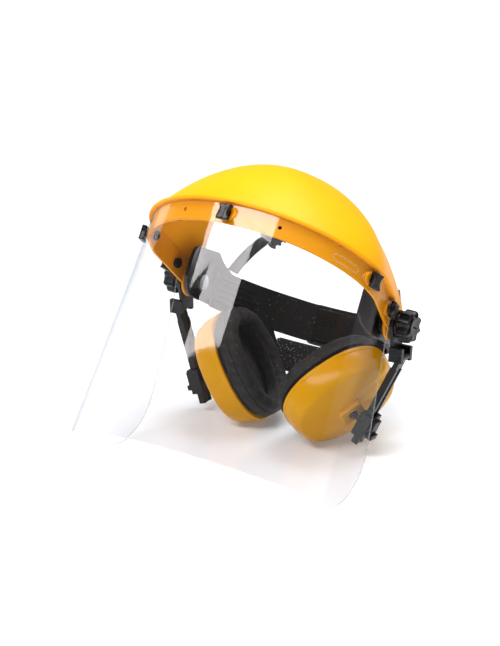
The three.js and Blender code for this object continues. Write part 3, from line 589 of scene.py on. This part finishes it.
def brow_dome():
    """Dome that rises from the whole rim to the crown, cut off behind by an upright and a leaning plane."""
    rim = stations_from(DOME_REAR)
    steps = 24
    for k in range(1, steps):
        a = math.pi * k / steps
        outward = at(math.cos(a), -math.sin(a), 0)
        rim.append((rim[0][0] * -math.cos(a), DOME_REAR - NOSE_START * math.sin(a), outward))
    base = np.array([band_frame(s)[0] + s[2] + UP * (BAND_HALF_HEIGHT - 0.5) for s in rim])
    power = np.array([DOME_FRONT_POWER + (DOME_SIDE_POWER - DOME_FRONT_POWER) * s[2][0] ** 6 for s in rim])
    crown = at(0, CROWN_FORWARD, CROWN_HEIGHT)
    rings = []
    levels = 57
    for level in range(levels):
        reach = math.cos(math.pi / 2 * level / levels)
        ring = base.copy()
        ring[:, :2] = crown[:2] + (base[:, :2] - crown[:2]) * reach
        ring[:, 2] = base[:, 2] + (crown[2] - base[:, 2]) * (1 - reach * reach) ** power
        rings.append(ring)
    rings.append(np.repeat(crown[None, :], len(rim), 0))
    verts, faces = rings_shape(rings)
    bm = bmesh.new()
    points = [bm.verts.new(v) for v in verts]
    for face in faces[:-2]:
        bm.faces.new([points[i] for i in face])
    bmesh.ops.remove_doubles(bm, verts=bm.verts, dist=1e-3)
    lean = math.radians(REAR_EDGE_LEAN)
    upright = ((0, -DOME_REAR, 0), (0, 1, 0))
    leaning = ((0, 0, REAR_EDGE_CROSSING), (0, math.cos(lean), math.sin(lean)))
    for place, normal in (upright, leaning):
        everything = bm.verts[:] + bm.edges[:] + bm.faces[:]
        bmesh.ops.bisect_plane(
            bm, geom=everything, plane_co=place, plane_no=normal, clear_outer=True, dist=1e-4,
        )
    bmesh.ops.recalc_face_normals(bm, faces=bm.faces)
    mesh = bpy.data.meshes.new("brow_dome")
    bm.to_mesh(mesh)
    bm.free()
    mesh.transform(BROW)
    obj = bpy.data.objects.new("brow_dome", mesh)
    scene.collection.objects.link(obj)
    wall = obj.modifiers.new("wall", "SOLIDIFY")
    wall.thickness, wall.offset, wall.use_even_offset = WALL * 0.001, -1, True
    edge = obj.modifiers.new("edge", "BEVEL")
    edge.width, edge.segments, edge.limit_method, edge.angle_limit = 0.0008, 3, "ANGLE", math.radians(50)
    return obj


def pivot_pad(side):
    """Thick ring round the pivot hole, its edges rounded."""
    profile = [
        (12.4, -WALL), (13, -WALL + 0.6), (13, -0.5), (12.7, 0), (12.3, 0.2), (5.2, 0.2), (5, 0), (5, -WALL),
    ]
    ring = rings_shape([lathe([point], 64)[0] for point in profile], closed=True)
    return moved(ring, shift(side * PIVOT_HALF_WIDTH, 0, 0) @ along_x(side))


def boss_shape():
    """Oval boss with a spreading foot, a rounded shoulder and a dished top."""
    foot = [(BOSS_RADIUS + 0.8, -1), (BOSS_RADIUS + 0.5, 0.1), (BOSS_RADIUS, 0.6)]
    quarter = np.linspace(0, math.pi / 2, 6)
    inner, under = BOSS_RADIUS - 0.8, BOSS_HEIGHT - 0.8
    shoulder = [(inner + 0.8 * math.cos(a), under + 0.8 * math.sin(a)) for a in quarter]
    return lathe([*foot, *shoulder, (3.4, BOSS_HEIGHT), (3.2, BOSS_HEIGHT - 0.4)], 48, BOSS_OVAL)


# The band, pivot pads and bosses take the darker copy of the guard yellow as painted shade.
declare(brow_band(), "visor_unit", "guard_orange", "brow_guard", sharp=40)
declare(brow_dome(), "visor_unit", "guard_yellow", sharp=50)
for name, side in SIDES:
    piece(f"pivot_pad_{name}", pivot_pad(side), BROW, "visor_unit", "guard_orange")
for name, place in TOGGLES.items():
    boss = moved(boss_shape(), on_band(station_at(*place)))
    piece(f"boss_{name}", boss, BROW, "visor_unit", "guard_orange", sharp=50)


def racetrack(start, end, up, half):
    """Outline of a shallow slot on the band, as a thin bead that is drawn pale as a painted highlight line.
    """
    cap = half / 1.55  # degrees that the round ends take
    flat = np.linspace(min(start, end) + cap, max(start, end) - cap, 14)
    turn_round = np.linspace(-math.pi / 2, math.pi / 2, 12)
    path = [(a, -half) for a in flat]
    path += [(flat[-1] + cap * math.cos(t), half * math.sin(t)) for t in turn_round[1:-1]]
    path += [(a, half) for a in flat[::-1]]
    path += [(flat[0] - cap * math.cos(t), -half * math.sin(t)) for t in turn_round[1:-1]]
    points = []
    for angle, rise in path:
        origin, outward, _ = band_frame(nose_station(math.radians(angle)))
        points.append((origin + UP * (up + rise) + outward * (GAP + 1.05), outward))
    frames = []
    for k, (p, w) in enumerate(points):
        along = unit(points[(k + 1) % len(points)][0] - points[k - 1][0])
        frames.append((p, w, np.cross(along, w)))
    return sweep(frames, circle(0.2, 10), closed=True)


# The slot outlines are drawn in the pale sheet-edge material as painted highlight lines.
for name, side in SIDES:
    beads = [racetrack(side * a, side * b, -2.4, 2.5) for a, b in ((52, 67), (71, 85))]
    piece(f"slot_edges_{name}", joined(*beads), BROW, "visor_unit", "sheet_edge")


# ---- Visor ----
def visor_edge(up):
    """Forward distance of the visor's side edge at a height."""
    ups = [u for _, u in VISOR_EDGE]
    fores = [f for f, _ in VISOR_EDGE]
    start = VISOR_EDGE[-1]
    corner = [start, (start[0] - 4, 22 - VISOR_LENGTH), (12, -VISOR_LENGTH), (52, -VISOR_LENGTH)]
    steps = 24
    for k in range(1, steps + 1):
        t = k / steps
        weights = [(1 - t) ** 3, 3 * t * (1 - t) ** 2, 3 * t * t * (1 - t), t ** 3]
        fores.append(sum(w * p[0] for w, p in zip(weights, corner)))
        ups.append(sum(w * p[1] for w, p in zip(weights, corner)) - 1e-4 * k)  # never quite level
    return float(np.interp(-up, [-u for u in ups], fores))


def visor_sheet():
    """Bent sheet from under the lip to the lower edge, with its own material on the cut edges."""
    rows = []
    top_edge = BAND_HALF_HEIGHT - 1 - GAP
    steps = 60
    for k in range(steps + 1):
        v = math.sin(math.pi / 2 * k / steps)
        fore = 10.0
        for _ in range(12):  # the row's height and its side edge depend on each other
            up = (BAND_RISE * fore + top_edge) * (1 - v) - VISOR_LENGTH * v
            fore = min(visor_edge(up), NOSE_START - 0.5)
        row = []
        for side, forward, outward in stations_from(fore, 12, 96):
            drop = v * (BAND_RISE * forward + top_edge + VISOR_LENGTH)
            reach = GAP + 1 + 0.05 * outward[0] ** 4 * drop
            row.append(at(side, forward, BAND_RISE * forward + top_edge - drop) + outward * reach)
        rows.append(np.array(row))
    count = len(rows[0])
    faces = [(r * count + c, r * count + c + 1, (r + 1) * count + c + 1, (r + 1) * count + c)
             for r in range(steps) for c in range(count - 1)]
    obj = solid("visor_sheet", (np.concatenate(rows), faces), BROW)
    if sum(p.normal.y for p in obj.data.polygons) > 0:
        obj.data.flip_normals()
    obj.data.materials.append(MATERIALS["clear_sheet"])
    obj.data.materials.append(MATERIALS["sheet_edge"])
    sheet = obj.modifiers.new("sheet", "SOLIDIFY")
    sheet.thickness, sheet.offset, sheet.use_even_offset, sheet.material_offset_rim = 0.001, -1, True, 1
    apply(obj)
    holes = [hole(BOSS_RADIUS + GAP, on_band(station_at(*place)), BOSS_OVAL) for place in TOGGLES.values()]
    drilled(obj, holes, BROW)
    return obj


visor = visor_sheet()
rims = [p.material_index for p in visor.data.polygons]
declare(visor, "visor_unit", "clear_sheet", "visor", sharp=40)
visor.data.materials.append(MATERIALS["sheet_edge"])
visor.data.polygons.foreach_set("material_index", rims)


# ---- Toggles ----
def toggle_shape():
    """Bow-tie head with a raised grip, on a stud with a collar."""
    y = np.linspace(-7, 4.7, 17)
    width = 3.3 + 1.8 * smooth(np.abs(y + 1.1), 1.0, 5.4)
    right = [(w, v) for w, v in zip(width, y)]
    outline = fillet(right + [(-w, v) for w, v in reversed(right)], 0.7, 2)
    head = slab(outline, 4.0, 8.1, 0.9, 4)
    stud = [(1.9, -WALL - 4), (1.9, 1.6), (3.3, BOSS_HEIGHT + GAP), (3.3, 2.6), (2.9, 3.0), (2.9, 4.6)]
    grip = slab(rounded_box(2.2, 10.2, 1.0), 7.2, 8.5, 0.5)
    return joined(head, lathe(stud, 36), moved(grip, shift(0, -1.1, 0)))


for name, place in TOGGLES.items():
    here = on_band(station_at(*place))
    body = f"fastener_{name}"
    toggle = moved(toggle_shape(), here)
    piece(f"toggle_{name}_grip", toggle, BROW, body, "black_plastic", f"toggle_{name}", sharp=45)
    ring = lathe([(2.6, -5.0), (3.6, -5.1), (4.0, -4.7), (4.0, -3.1), (3.7, -2.7)], 40)
    piece(f"retainer_{name}_disc", moved(ring, here), BROW, body, "black_plastic", f"retainer_{name}")


# ---- Soft strips: crowned sections with a seam down each long edge ----
def crowned(inner, outer, half, steps=36, power=0.42):
    a = np.linspace(0, 2 * np.pi, steps, endpoint=False)
    c, s = np.cos(a), np.sin(a)
    across = (inner + outer) / 2 + (outer - inner) / 2 * np.sign(c) * np.abs(c) ** 0.75
    return np.stack([across, half * np.sign(s) * np.abs(s) ** power], 1)


def soft_strip(name, frames, inner, outer, half, matrix, body, node):
    count = len(frames)

    def section(i):
        t = min(i, count - 1 - i) / (count - 1)
        close = math.sqrt(max(1 - (1 - min(t / 0.05, 1)) ** 2, 0.02))
        s = crowned(inner, outer, half)
        middle = np.array(((inner + outer) / 2, 0))
        puff = 1 + 0.035 * math.sin(i * 1.7) * math.sin(i * 0.61)
        return middle + (s - middle) * np.array((close * puff, 0.93 + 0.07 * close))

    obj = piece(name, sweep(frames, section), matrix, body, "knit", node, sharp=60)
    cords = []
    for edge in (-1, 1):
        route = [(o + w * (inner + outer) / 2 + u * edge * (half - 0.3), w, u) for o, w, u in frames[2:-2]]
        cords.append(sweep(route, circle(0.55, 10)))
    piece(name + "_seams", joined(*cords), matrix, body, "strap_plastic", sharp=60)


sweat_frames = []
for a in np.radians(np.linspace(-43, 43, 90)):
    origin, outward, up = band_frame(nose_station(a))
    sweat_frames.append((origin + UP * SWEATBAND_LIFT, outward, up))
soft_strip("sweatband_pad", sweat_frames, -16, -9.5, 9, BROW, "visor_unit", "sweatband")


# ---- Headgear ----
def mirrored(degrees, side):
    """The angle round the head in radians, counted from the given side."""
    return math.radians(degrees if side > 0 else 180 - degrees)


def rear_frame(angle, inset=0.0):
    outward = unit(at(math.cos(angle) / HEAD_HALF_WIDTH, -math.sin(angle) / HEAD_REAR, 0))
    origin = at(HEAD_HALF_WIDTH * math.cos(angle), -HEAD_REAR * math.sin(angle), 0)
    return origin + outward * inset, outward, UP


def crown_frame(angle, lower=0.0):
    span = HEAD_HALF_WIDTH - CROWN_STRAP_INSET
    side = span * math.cos(angle)
    outward = unit(at(math.cos(angle) / span, 0, math.sin(angle) / CROWN_STRAP_HEIGHT))
    forward = -15 - 23 * math.sin(angle) + 0.11 * side
    height = 2 + (CROWN_STRAP_HEIGHT - lower) * math.sin(angle)
    return at(side, forward, height), outward, np.array((0.0, 1, 0))


def nape_frame(angle):
    outward = at(math.sin(angle), -math.cos(angle), 0)
    forward = -NAPE_BACK + NAPE_RADIUS * (1 - math.cos(angle))
    return at(NAPE_RADIUS * math.sin(angle), forward, -NAPE_DROP), outward, UP


def rear_strap(name, side):
    """Band with fine ribs on its inner face near the temple. The right one passes outside the left one."""
    layer = 0 if side > 0 else STRAP + GAP
    degrees = np.linspace(10, 98, 90)
    frames = [rear_frame(mirrored(d, side), layer * smooth(d, 55, 72)) for d in degrees]
    edge, flat = STRAP_HALF_HEIGHT, STRAP_HALF_HEIGHT - 0.6
    outer = [
        (0.5, -edge), (STRAP - 0.6, -edge), (STRAP - 0.15, 0.2 - edge), (STRAP, -flat),
        (STRAP, flat), (STRAP - 0.15, edge - 0.2), (STRAP - 0.6, edge), (0.5, edge), (0.1, edge - 0.2),
    ]
    ups = np.linspace(flat, -flat, 121)
    ribs = np.maximum(0, np.cos(2 * np.pi * ups / 4.6)) ** 8 * (np.abs(ups) < 12.5)

    def section(i):
        depth = smooth(degrees[i], 11, 13) * (1 - smooth(degrees[i], 34, 38))
        return np.array([*outer, *zip(0.02 - depth * ribs, ups), (0.1, 0.2 - edge)])

    band = sweep(frames, section)
    piece(f"rear_band_{name}", band, HEAD, "headband", "strap_plastic", f"rear_strap_{name}", sharp=40)


def crown_strap(name, side):
    """Strap with raised edges. The right one passes under the left one."""
    lower = 0 if side > 0 else STRAP + GAP
    frames = [crown_frame(mirrored(d, side), lower) for d in np.linspace(12, 98, 70)]
    edge = CROWN_STRAP_HALF_WIDTH
    half = [(0, edge - 1.4), (0, edge), (-1.8, edge)]
    outline = [(x, -y) for x, y in reversed(half)] + [(-0.3, 1.8 - edge), (-0.3, edge - 1.8)] + half
    band = sweep(frames, fillet(outline, 0.35, 3))
    piece(f"crown_band_{name}", band, HEAD, "headband", "strap_plastic", f"crown_strap_{name}", sharp=40)


def catmull(points, count):
    """Curve through the points, as positions and directions, evenly stepped in each span's parameter."""
    p = [2 * points[0] - points[1], *points, 2 * points[-1] - points[-2]]
    out = []
    for t in np.linspace(0, len(points) - 1, count):
        i = min(int(t), len(points) - 2)
        x = t - i
        a, b, c, d = p[i:i + 4]
        way = 0.5 * ((c - a) + 2 * (2 * a - 5 * b + 4 * c - d) * x + 3 * (3 * b - a - 3 * c + d) * x ** 2)
        out.append((curve_point(a, b, c, d, x), unit(way)))
    return out


def nape_strap(name, side):
    """Thin strap from behind the nape pad up to the inside of the rear strap."""
    points = []
    for reach in (28, 43):
        origin, outward, _ = nape_frame(side * math.asin(reach / NAPE_RADIUS))
        points.append(origin + outward * 3.7)
    for degrees, height in ((44, -13), (36, -7)):
        origin = rear_frame(mirrored(degrees, side), -2.6)[0]
        points.append(np.array((origin[0], origin[1], height)))
    frames = []
    for origin, along in catmull(points, 40):
        outward = unit(np.cross(UP, along)) * -side
        frames.append((origin, outward, unit(np.cross(along, outward)) * -side))
    section = fillet([(-0.8, -6), (0.8, -6), (0.8, 6), (-0.8, 6)], 0.4, 3)
    band = sweep(frames, section)
    piece(f"nape_band_{name}", band, HEAD, "headband", "strap_plastic", f"nape_strap_{name}")


for name, side in SIDES:
    rear_strap(name, side)
    crown_strap(name, side)
    nape_strap(name, side)
nape_end = math.asin(44 / NAPE_RADIUS)
nape_frames = [nape_frame(a) for a in np.linspace(-nape_end, nape_end, 90)]
soft_strip("nape_cushion", nape_frames, -2.2, 2.2, 12.3, HEAD, "headband", "nape_pad")


# ---- Knobs ----
def pivot_knob_shape():
    """Eight-lobed knob on a collar, with a low cap."""
    flutes = circle(12.9, 160, 8, 2.9, 0.62)
    collar = lathe([(9.4, 0), (9.8, 0.3), (9.8, 2.2), (9.2, 2.6)], 48)
    body = stack(flutes, [
        (2.2, 0.9), (2.5, 0.4), (3.1, 0.05), (4, 0),
        (10, 0.3), (11.3, 0.7), (12.2, 1.5), (12.8, 2.8), (12.8, 3.6),
    ])
    cap = lathe([(7.4, 12.2), (7.2, 12.9), (6.6, 13.0), (3, 12.8), (2.6, 12.5)], 48)
    return joined(collar, body, cap)


for name, side in SIDES:
    shape = moved(pivot_knob_shape(), shift(side * KNOB_START, 0, 0) @ along_x(side))
    piece(f"knob_{name}", shape, HEAD, f"side_knob_{name}", "black_plastic", f"pivot_knob_{name}", sharp=40)


def arc_box(start, end, inner, outer, half, edge):
    """A rounded block bent along the back of the headgear, with rounded ends."""
    steps = 40
    frames = [rear_frame(math.radians(d)) for d in np.linspace(start, end, steps)]
    middle = np.array(((inner + outer) / 2, 0))
    full = fillet([(inner, -half), (outer, -half), (outer, half), (inner, half)], edge, 5)

    def section(i):
        near_end = (1 - min(min(i, steps - 1 - i) / 2, 1)) ** 2
        return middle + (full - middle) * (1 - np.array((0.35, 0.06)) * near_end)

    return sweep(frames, section)


def behind(reach):
    """Frame on the headgear's middle line, with a turned shape's height running backward."""
    return basis((0, reach, 0), (1, 0, 0), (0, 0, -1), (0, 1, 0))


def housing_shape():
    """Outer shell, inner plate and the web between them, with a raised ring round the knob."""
    return joined(
        arc_box(70, 110, ADJUSTER_START, ADJUSTER_START + ADJUSTER_DEPTH, 16.6, 3.2),
        arc_box(72, 108, -2.4, -0.5, 12.5, 0.8),
        arc_box(76, 104, -0.6, ADJUSTER_START + 0.5, 1.2, 0.4),
        moved(lathe([(13.5, -1), (13.5, 0.1), (13.1, 0.4), (11, 0.4)], 64), behind(HEAD_REAR + 13.1)),
    )


def ratchet_shape():
    """Twelve-lobed knob with a shaft and a ring on its face."""
    lobed = circle(16.1, 192, 12, 2.2, 0.7)
    grip = stack(lobed, [(0, 1.0), (0.4, 0.3), (1.2, 0), (9, 0.3), (10.2, 0.9), (10.9, 2.2), (11, 3.4)])
    shaft = lathe([(3, -11.5), (3, 0.5)], 32)
    ring = lathe([(9, 10.6), (8.6, 11.2), (7.6, 11.2), (7.2, 10.8)], 48)
    return moved(joined(grip, shaft, ring), behind(HEAD_REAR + ADJUSTER_START + ADJUSTER_DEPTH + GAP))


piece("adjuster_housing", housing_shape(), HEAD, "headband", "black_plastic", "ratchet_housing", sharp=40)
piece("ratchet_grip", ratchet_shape(), HEAD, "rear_adjuster", "black_plastic", "ratchet_knob", sharp=40)


# ---- Ear muffs. A cup's frame has X outward, Y across and Z along its height ----
CUP_STEPS = 128


def cup_outline(scale=1.0, grow=0.0, count=CUP_STEPS):
    a = np.linspace(0, 2 * np.pi, count, endpoint=False)
    c, s = np.cos(a), np.sin(a)
    power = 2 / 2.3
    y = (CUP_HALF_WIDTH * scale + grow) * np.sign(c) * np.abs(c) ** power
    z = (CUP_HALF_HEIGHT * scale + grow) * np.sign(s) * np.abs(s) ** power
    return np.stack([y, z], 1)


def cup_shape():
    """Rim bead, side wall, a soft crease, a flatter face with a channel towards the ball."""
    rim = [(0, 0.985), (0.1, 0.995), (0.7, 1.0), (2.6, 1.0), (3.2, 0.996), (3.5, 0.987)]
    wall = [(4.2, 0.984), (6, 0.985), (9, 0.978), (12, 0.963), (15, 0.942), (18, 0.914)]
    crease = [(19.6, 0.896), (20.4, 0.882), (21.0, 0.864), (21.45, 0.842), (21.9, 0.81), (22.6, 0.75)]
    face = [
        (23.6, 0.66), (24.6, 0.56), (25.6, 0.45), (26.5, 0.34),
        (27.2, 0.24), (27.7, 0.15), (27.9, 0.08), (28, 0.02),
    ]
    inside = [(24.8, 0.1), (22.5, 0.66), (17, 0.86), (10, 0.95), (0.4, 0.98), (0, 0.985)]
    rings = []
    for x, scale in rim + wall + crease + face:
        yz = cup_outline(scale)
        depth = np.full(len(yz), float(x))
        trough = np.exp(-((yz[:, 0] / 8.5) ** 4)) * smooth(yz[:, 1], 4, 10) * smooth(x, 12, 20)
        depth -= 3.0 * trough
        rings.append(np.stack([depth, yz[:, 0], yz[:, 1]], 1))
    rings += [np.stack([np.full(CUP_STEPS, x), *cup_outline(scale, -2.5).T], 1) for x, scale in inside]
    return rings_shape(rings, closed=True)


def cup_saddle():
    """Raised block on the cup's face, where the ball stud enters."""
    block = slab(rounded_box(16, 20, 3.2), CUP_DEPTH - 5, CUP_DEPTH + 3, 1.1, 4)
    return moved(block, ALONG_X)


def spline_section(points, count):
    """Smooth closed curve through the points."""
    pts = [np.array(p, float) for p in points]
    n = len(pts)
    out = []
    for t in np.linspace(0, n, count, endpoint=False):
        i, x = int(t), t - int(t)
        a, b, c, d = (pts[(i + k) % n] for k in (-1, 0, 1, 2))
        out.append(curve_point(a, b, c, d, x))
    return np.array(out)


def cushion_shape():
    """Padded ring with a seam groove outside and inside, and small uneven swells round it."""
    outline = cup_outline(count=144)
    section = [
        (-1.2, -3.4), (-0.7, -4.6), (-0.5, -7.2), (-0.9, -10.4), (-1.7, -10.9), (-1.5, -11.6),
        (-1.9, -13.4), (-3.8, -16.2), (-7.2, -17.9), (-10.4, -17.6), (-12.9, -15.8), (-13.9, -13.2),
        (-14.2, -12.4), (-15.0, -11.8), (-15.2, -9.4), (-14.8, -5.6), (-14, -3.4), (-8, -3.3),
    ]
    shape = spline_section(section, 108)
    rings = []
    count = len(outline)
    for i, (y, z) in enumerate(outline):
        ahead, behind = outline[(i + 1) % count], outline[i - 1]
        outward = unit(np.array((0, ahead[1] - behind[1], behind[0] - ahead[0])))
        a = 2 * math.pi * i / count
        soft = 0.12 * math.sin(9 * a + 1) + 0.1 * math.sin(17 * a) + 0.06 * math.sin(31 * a + 2)
        s = shape.copy()
        top = smooth(-s[:, 1], 8, 15)
        s[:, 1] -= top * soft * 1.6
        s[:, 0] += (1 - top) * smooth(-s[:, 1], 3.4, 6) * soft * 0.5
        rings.append(np.array((0, y, z)) + s[:, :1] * outward + s[:, 1:] * np.array((1.0, 0, 0)))
    return rings_shape(rings, closed=True)


def foam_shape():
    """Lining of the cup with a gently dented face."""
    back = [(9, 0.84), (8, 0.88), (3, 0.89)]
    face = [(1.6, 0.88), (1.2, 0.84), (0.6, 0.7), (0.2, 0.5), (0, 0.25), (-0.1, 0.02)]
    rings = []
    for x, scale in back + face:
        yz = cup_outline(scale)
        dent = 0.35 * np.sin(yz[:, 0] * 0.37) * np.sin(yz[:, 1] * 0.29) * (x < 2)
        rings.append(np.stack([x + dent + (1.3 if x < 2 else 0), *yz.T], 1))
    return rings_shape(rings)


for name, muff in MUFFS.items():
    cup = muff_frame(**muff)
    body = f"cup_{name}"
    piece(f"muff_shell_{name}", cup_shape(), cup, body, "cup_yellow", f"cup_shell_{name}", sharp=48)
    piece(f"muff_saddle_{name}", cup_saddle(), cup, body, "cup_yellow")
    cushion = cushion_shape()
    skin = piece(f"muff_cushion_{name}", cushion, cup, body, "cushion_skin", f"ear_cushion_{name}", sharp=70)
    pad = piece(f"muff_foam_{name}", foam_shape(), cup, body, "foam", f"cup_foam_{name}", sharp=60)

# ---- Nodes carried over from CAD ----
WIDE_EDGED = ("arm_", "slider", "ratchet", "crown_buckle")
for name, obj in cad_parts.items():
    if not obj.material_slots:
        obj.data.materials.append(None)
    for place in obj.material_slots:
        place.link = "OBJECT"
        place.material = MATERIALS["steel" if name.startswith("pivot_bolt") else "black_plastic"]
    edge = obj.modifiers.new("edge", "BEVEL")
    edge.width = 0.0007 if name.startswith(WIDE_EDGED) else 0.0004
    edge.segments, edge.limit_method, edge.angle_limit = 3, "ANGLE", math.radians(35)


# ---- Floor, light and camera, in metres ----
def floor(reach):
    """Smooth white floor that glows a little, more so far away, to meet the white surroundings."""
    n = Nodes("floor")
    tone = n.noise(6, 2)
    far = n.node("VectorMath", {0: n.coords}, operation="LENGTH").outputs["Value"]
    material = n.surface({
        "Base Color": n.mix(tone, (0.85, 0.87, 0.9), (0.87, 0.89, 0.92)),
        "Roughness": n.span(tone, 0.3, 0.7, 0.1, 0.14),
        "Emission Color": (1, 1, 1, 1), "Emission Strength": n.span(far, 0.6, 2.2, 0.13, 0.6),
    })
    corners = [(-reach, -reach, 0), (reach, -reach, 0), (reach, reach, 0), (-reach, reach, 0)]
    mesh = bpy.data.meshes.new("floor")
    mesh.from_pydata(corners, [], [(0, 1, 2, 3)])
    mesh.materials.append(material)
    obj = bpy.data.objects.new("floor", mesh)
    scene.collection.objects.link(obj)


def lamp(name, place, aim, size, energy, colour=(1, 1, 1)):
    """A rectangular lamp at a place, turned towards a point."""
    data = bpy.data.lights.new(name, "AREA")
    data.shape, data.size, data.size_y = "RECTANGLE", *size
    data.energy, data.color = energy, colour
    obj = bpy.data.objects.new(name, data)
    scene.collection.objects.link(obj)
    obj.location = place
    obj.rotation_euler = (Vector(aim) - Vector(place)).to_track_quat("-Z", "Y").to_euler()


floor(12)
world = bpy.data.worlds.new("studio")
world.use_nodes = True
background = world.node_tree.nodes["Background"]
background.inputs["Color"].default_value = (1, 1, 1, 1)
background.inputs["Strength"].default_value = 0.25
scene.world = world
BLUSH = (1, 0.965, 0.975)
lamp("overhead", (0.15, 0.25, 1.7), (0, 0, 0.1), (1.5, 1.3), 40)
lamp("strip_rear", (-0.59, -0.91, 1.4), (-0.59, -0.91, 0), (1.58, 0.34), 24, BLUSH)  # seen in the visor
lamp("strip_fore", (-0.56, -1.19, 1.4), (-0.56, -1.19, 0), (0.84, 0.22), 8.3, BLUSH)
lamp("side", (-1.6, 0.45, 0.35), (0, 0, 0.15), (0.4, 0.5), 3)
lamp("front", (1.3, -1.6, 0.8), (0, 0, 0.1), (0.7, 0.9), 2.5)

CAMERA_DISTANCE = 1.8
back = Vector((0.481, -0.800, 0.358)).normalized()
right = Vector((0.857, 0.515, 0)).normalized()
camera = bpy.data.objects.new("camera", bpy.data.cameras.new("camera"))
camera.matrix_world = basis(PIVOT + back * CAMERA_DISTANCE, right, back.cross(right), back)
camera.data.lens, camera.data.sensor_width, camera.data.sensor_fit = 130.4, 36, "AUTO"
camera.data.shift_x, camera.data.shift_y = -0.061, -0.034
scene.collection.objects.link(camera)
scene.camera = camera
scene.view_settings.view_transform = "Standard"
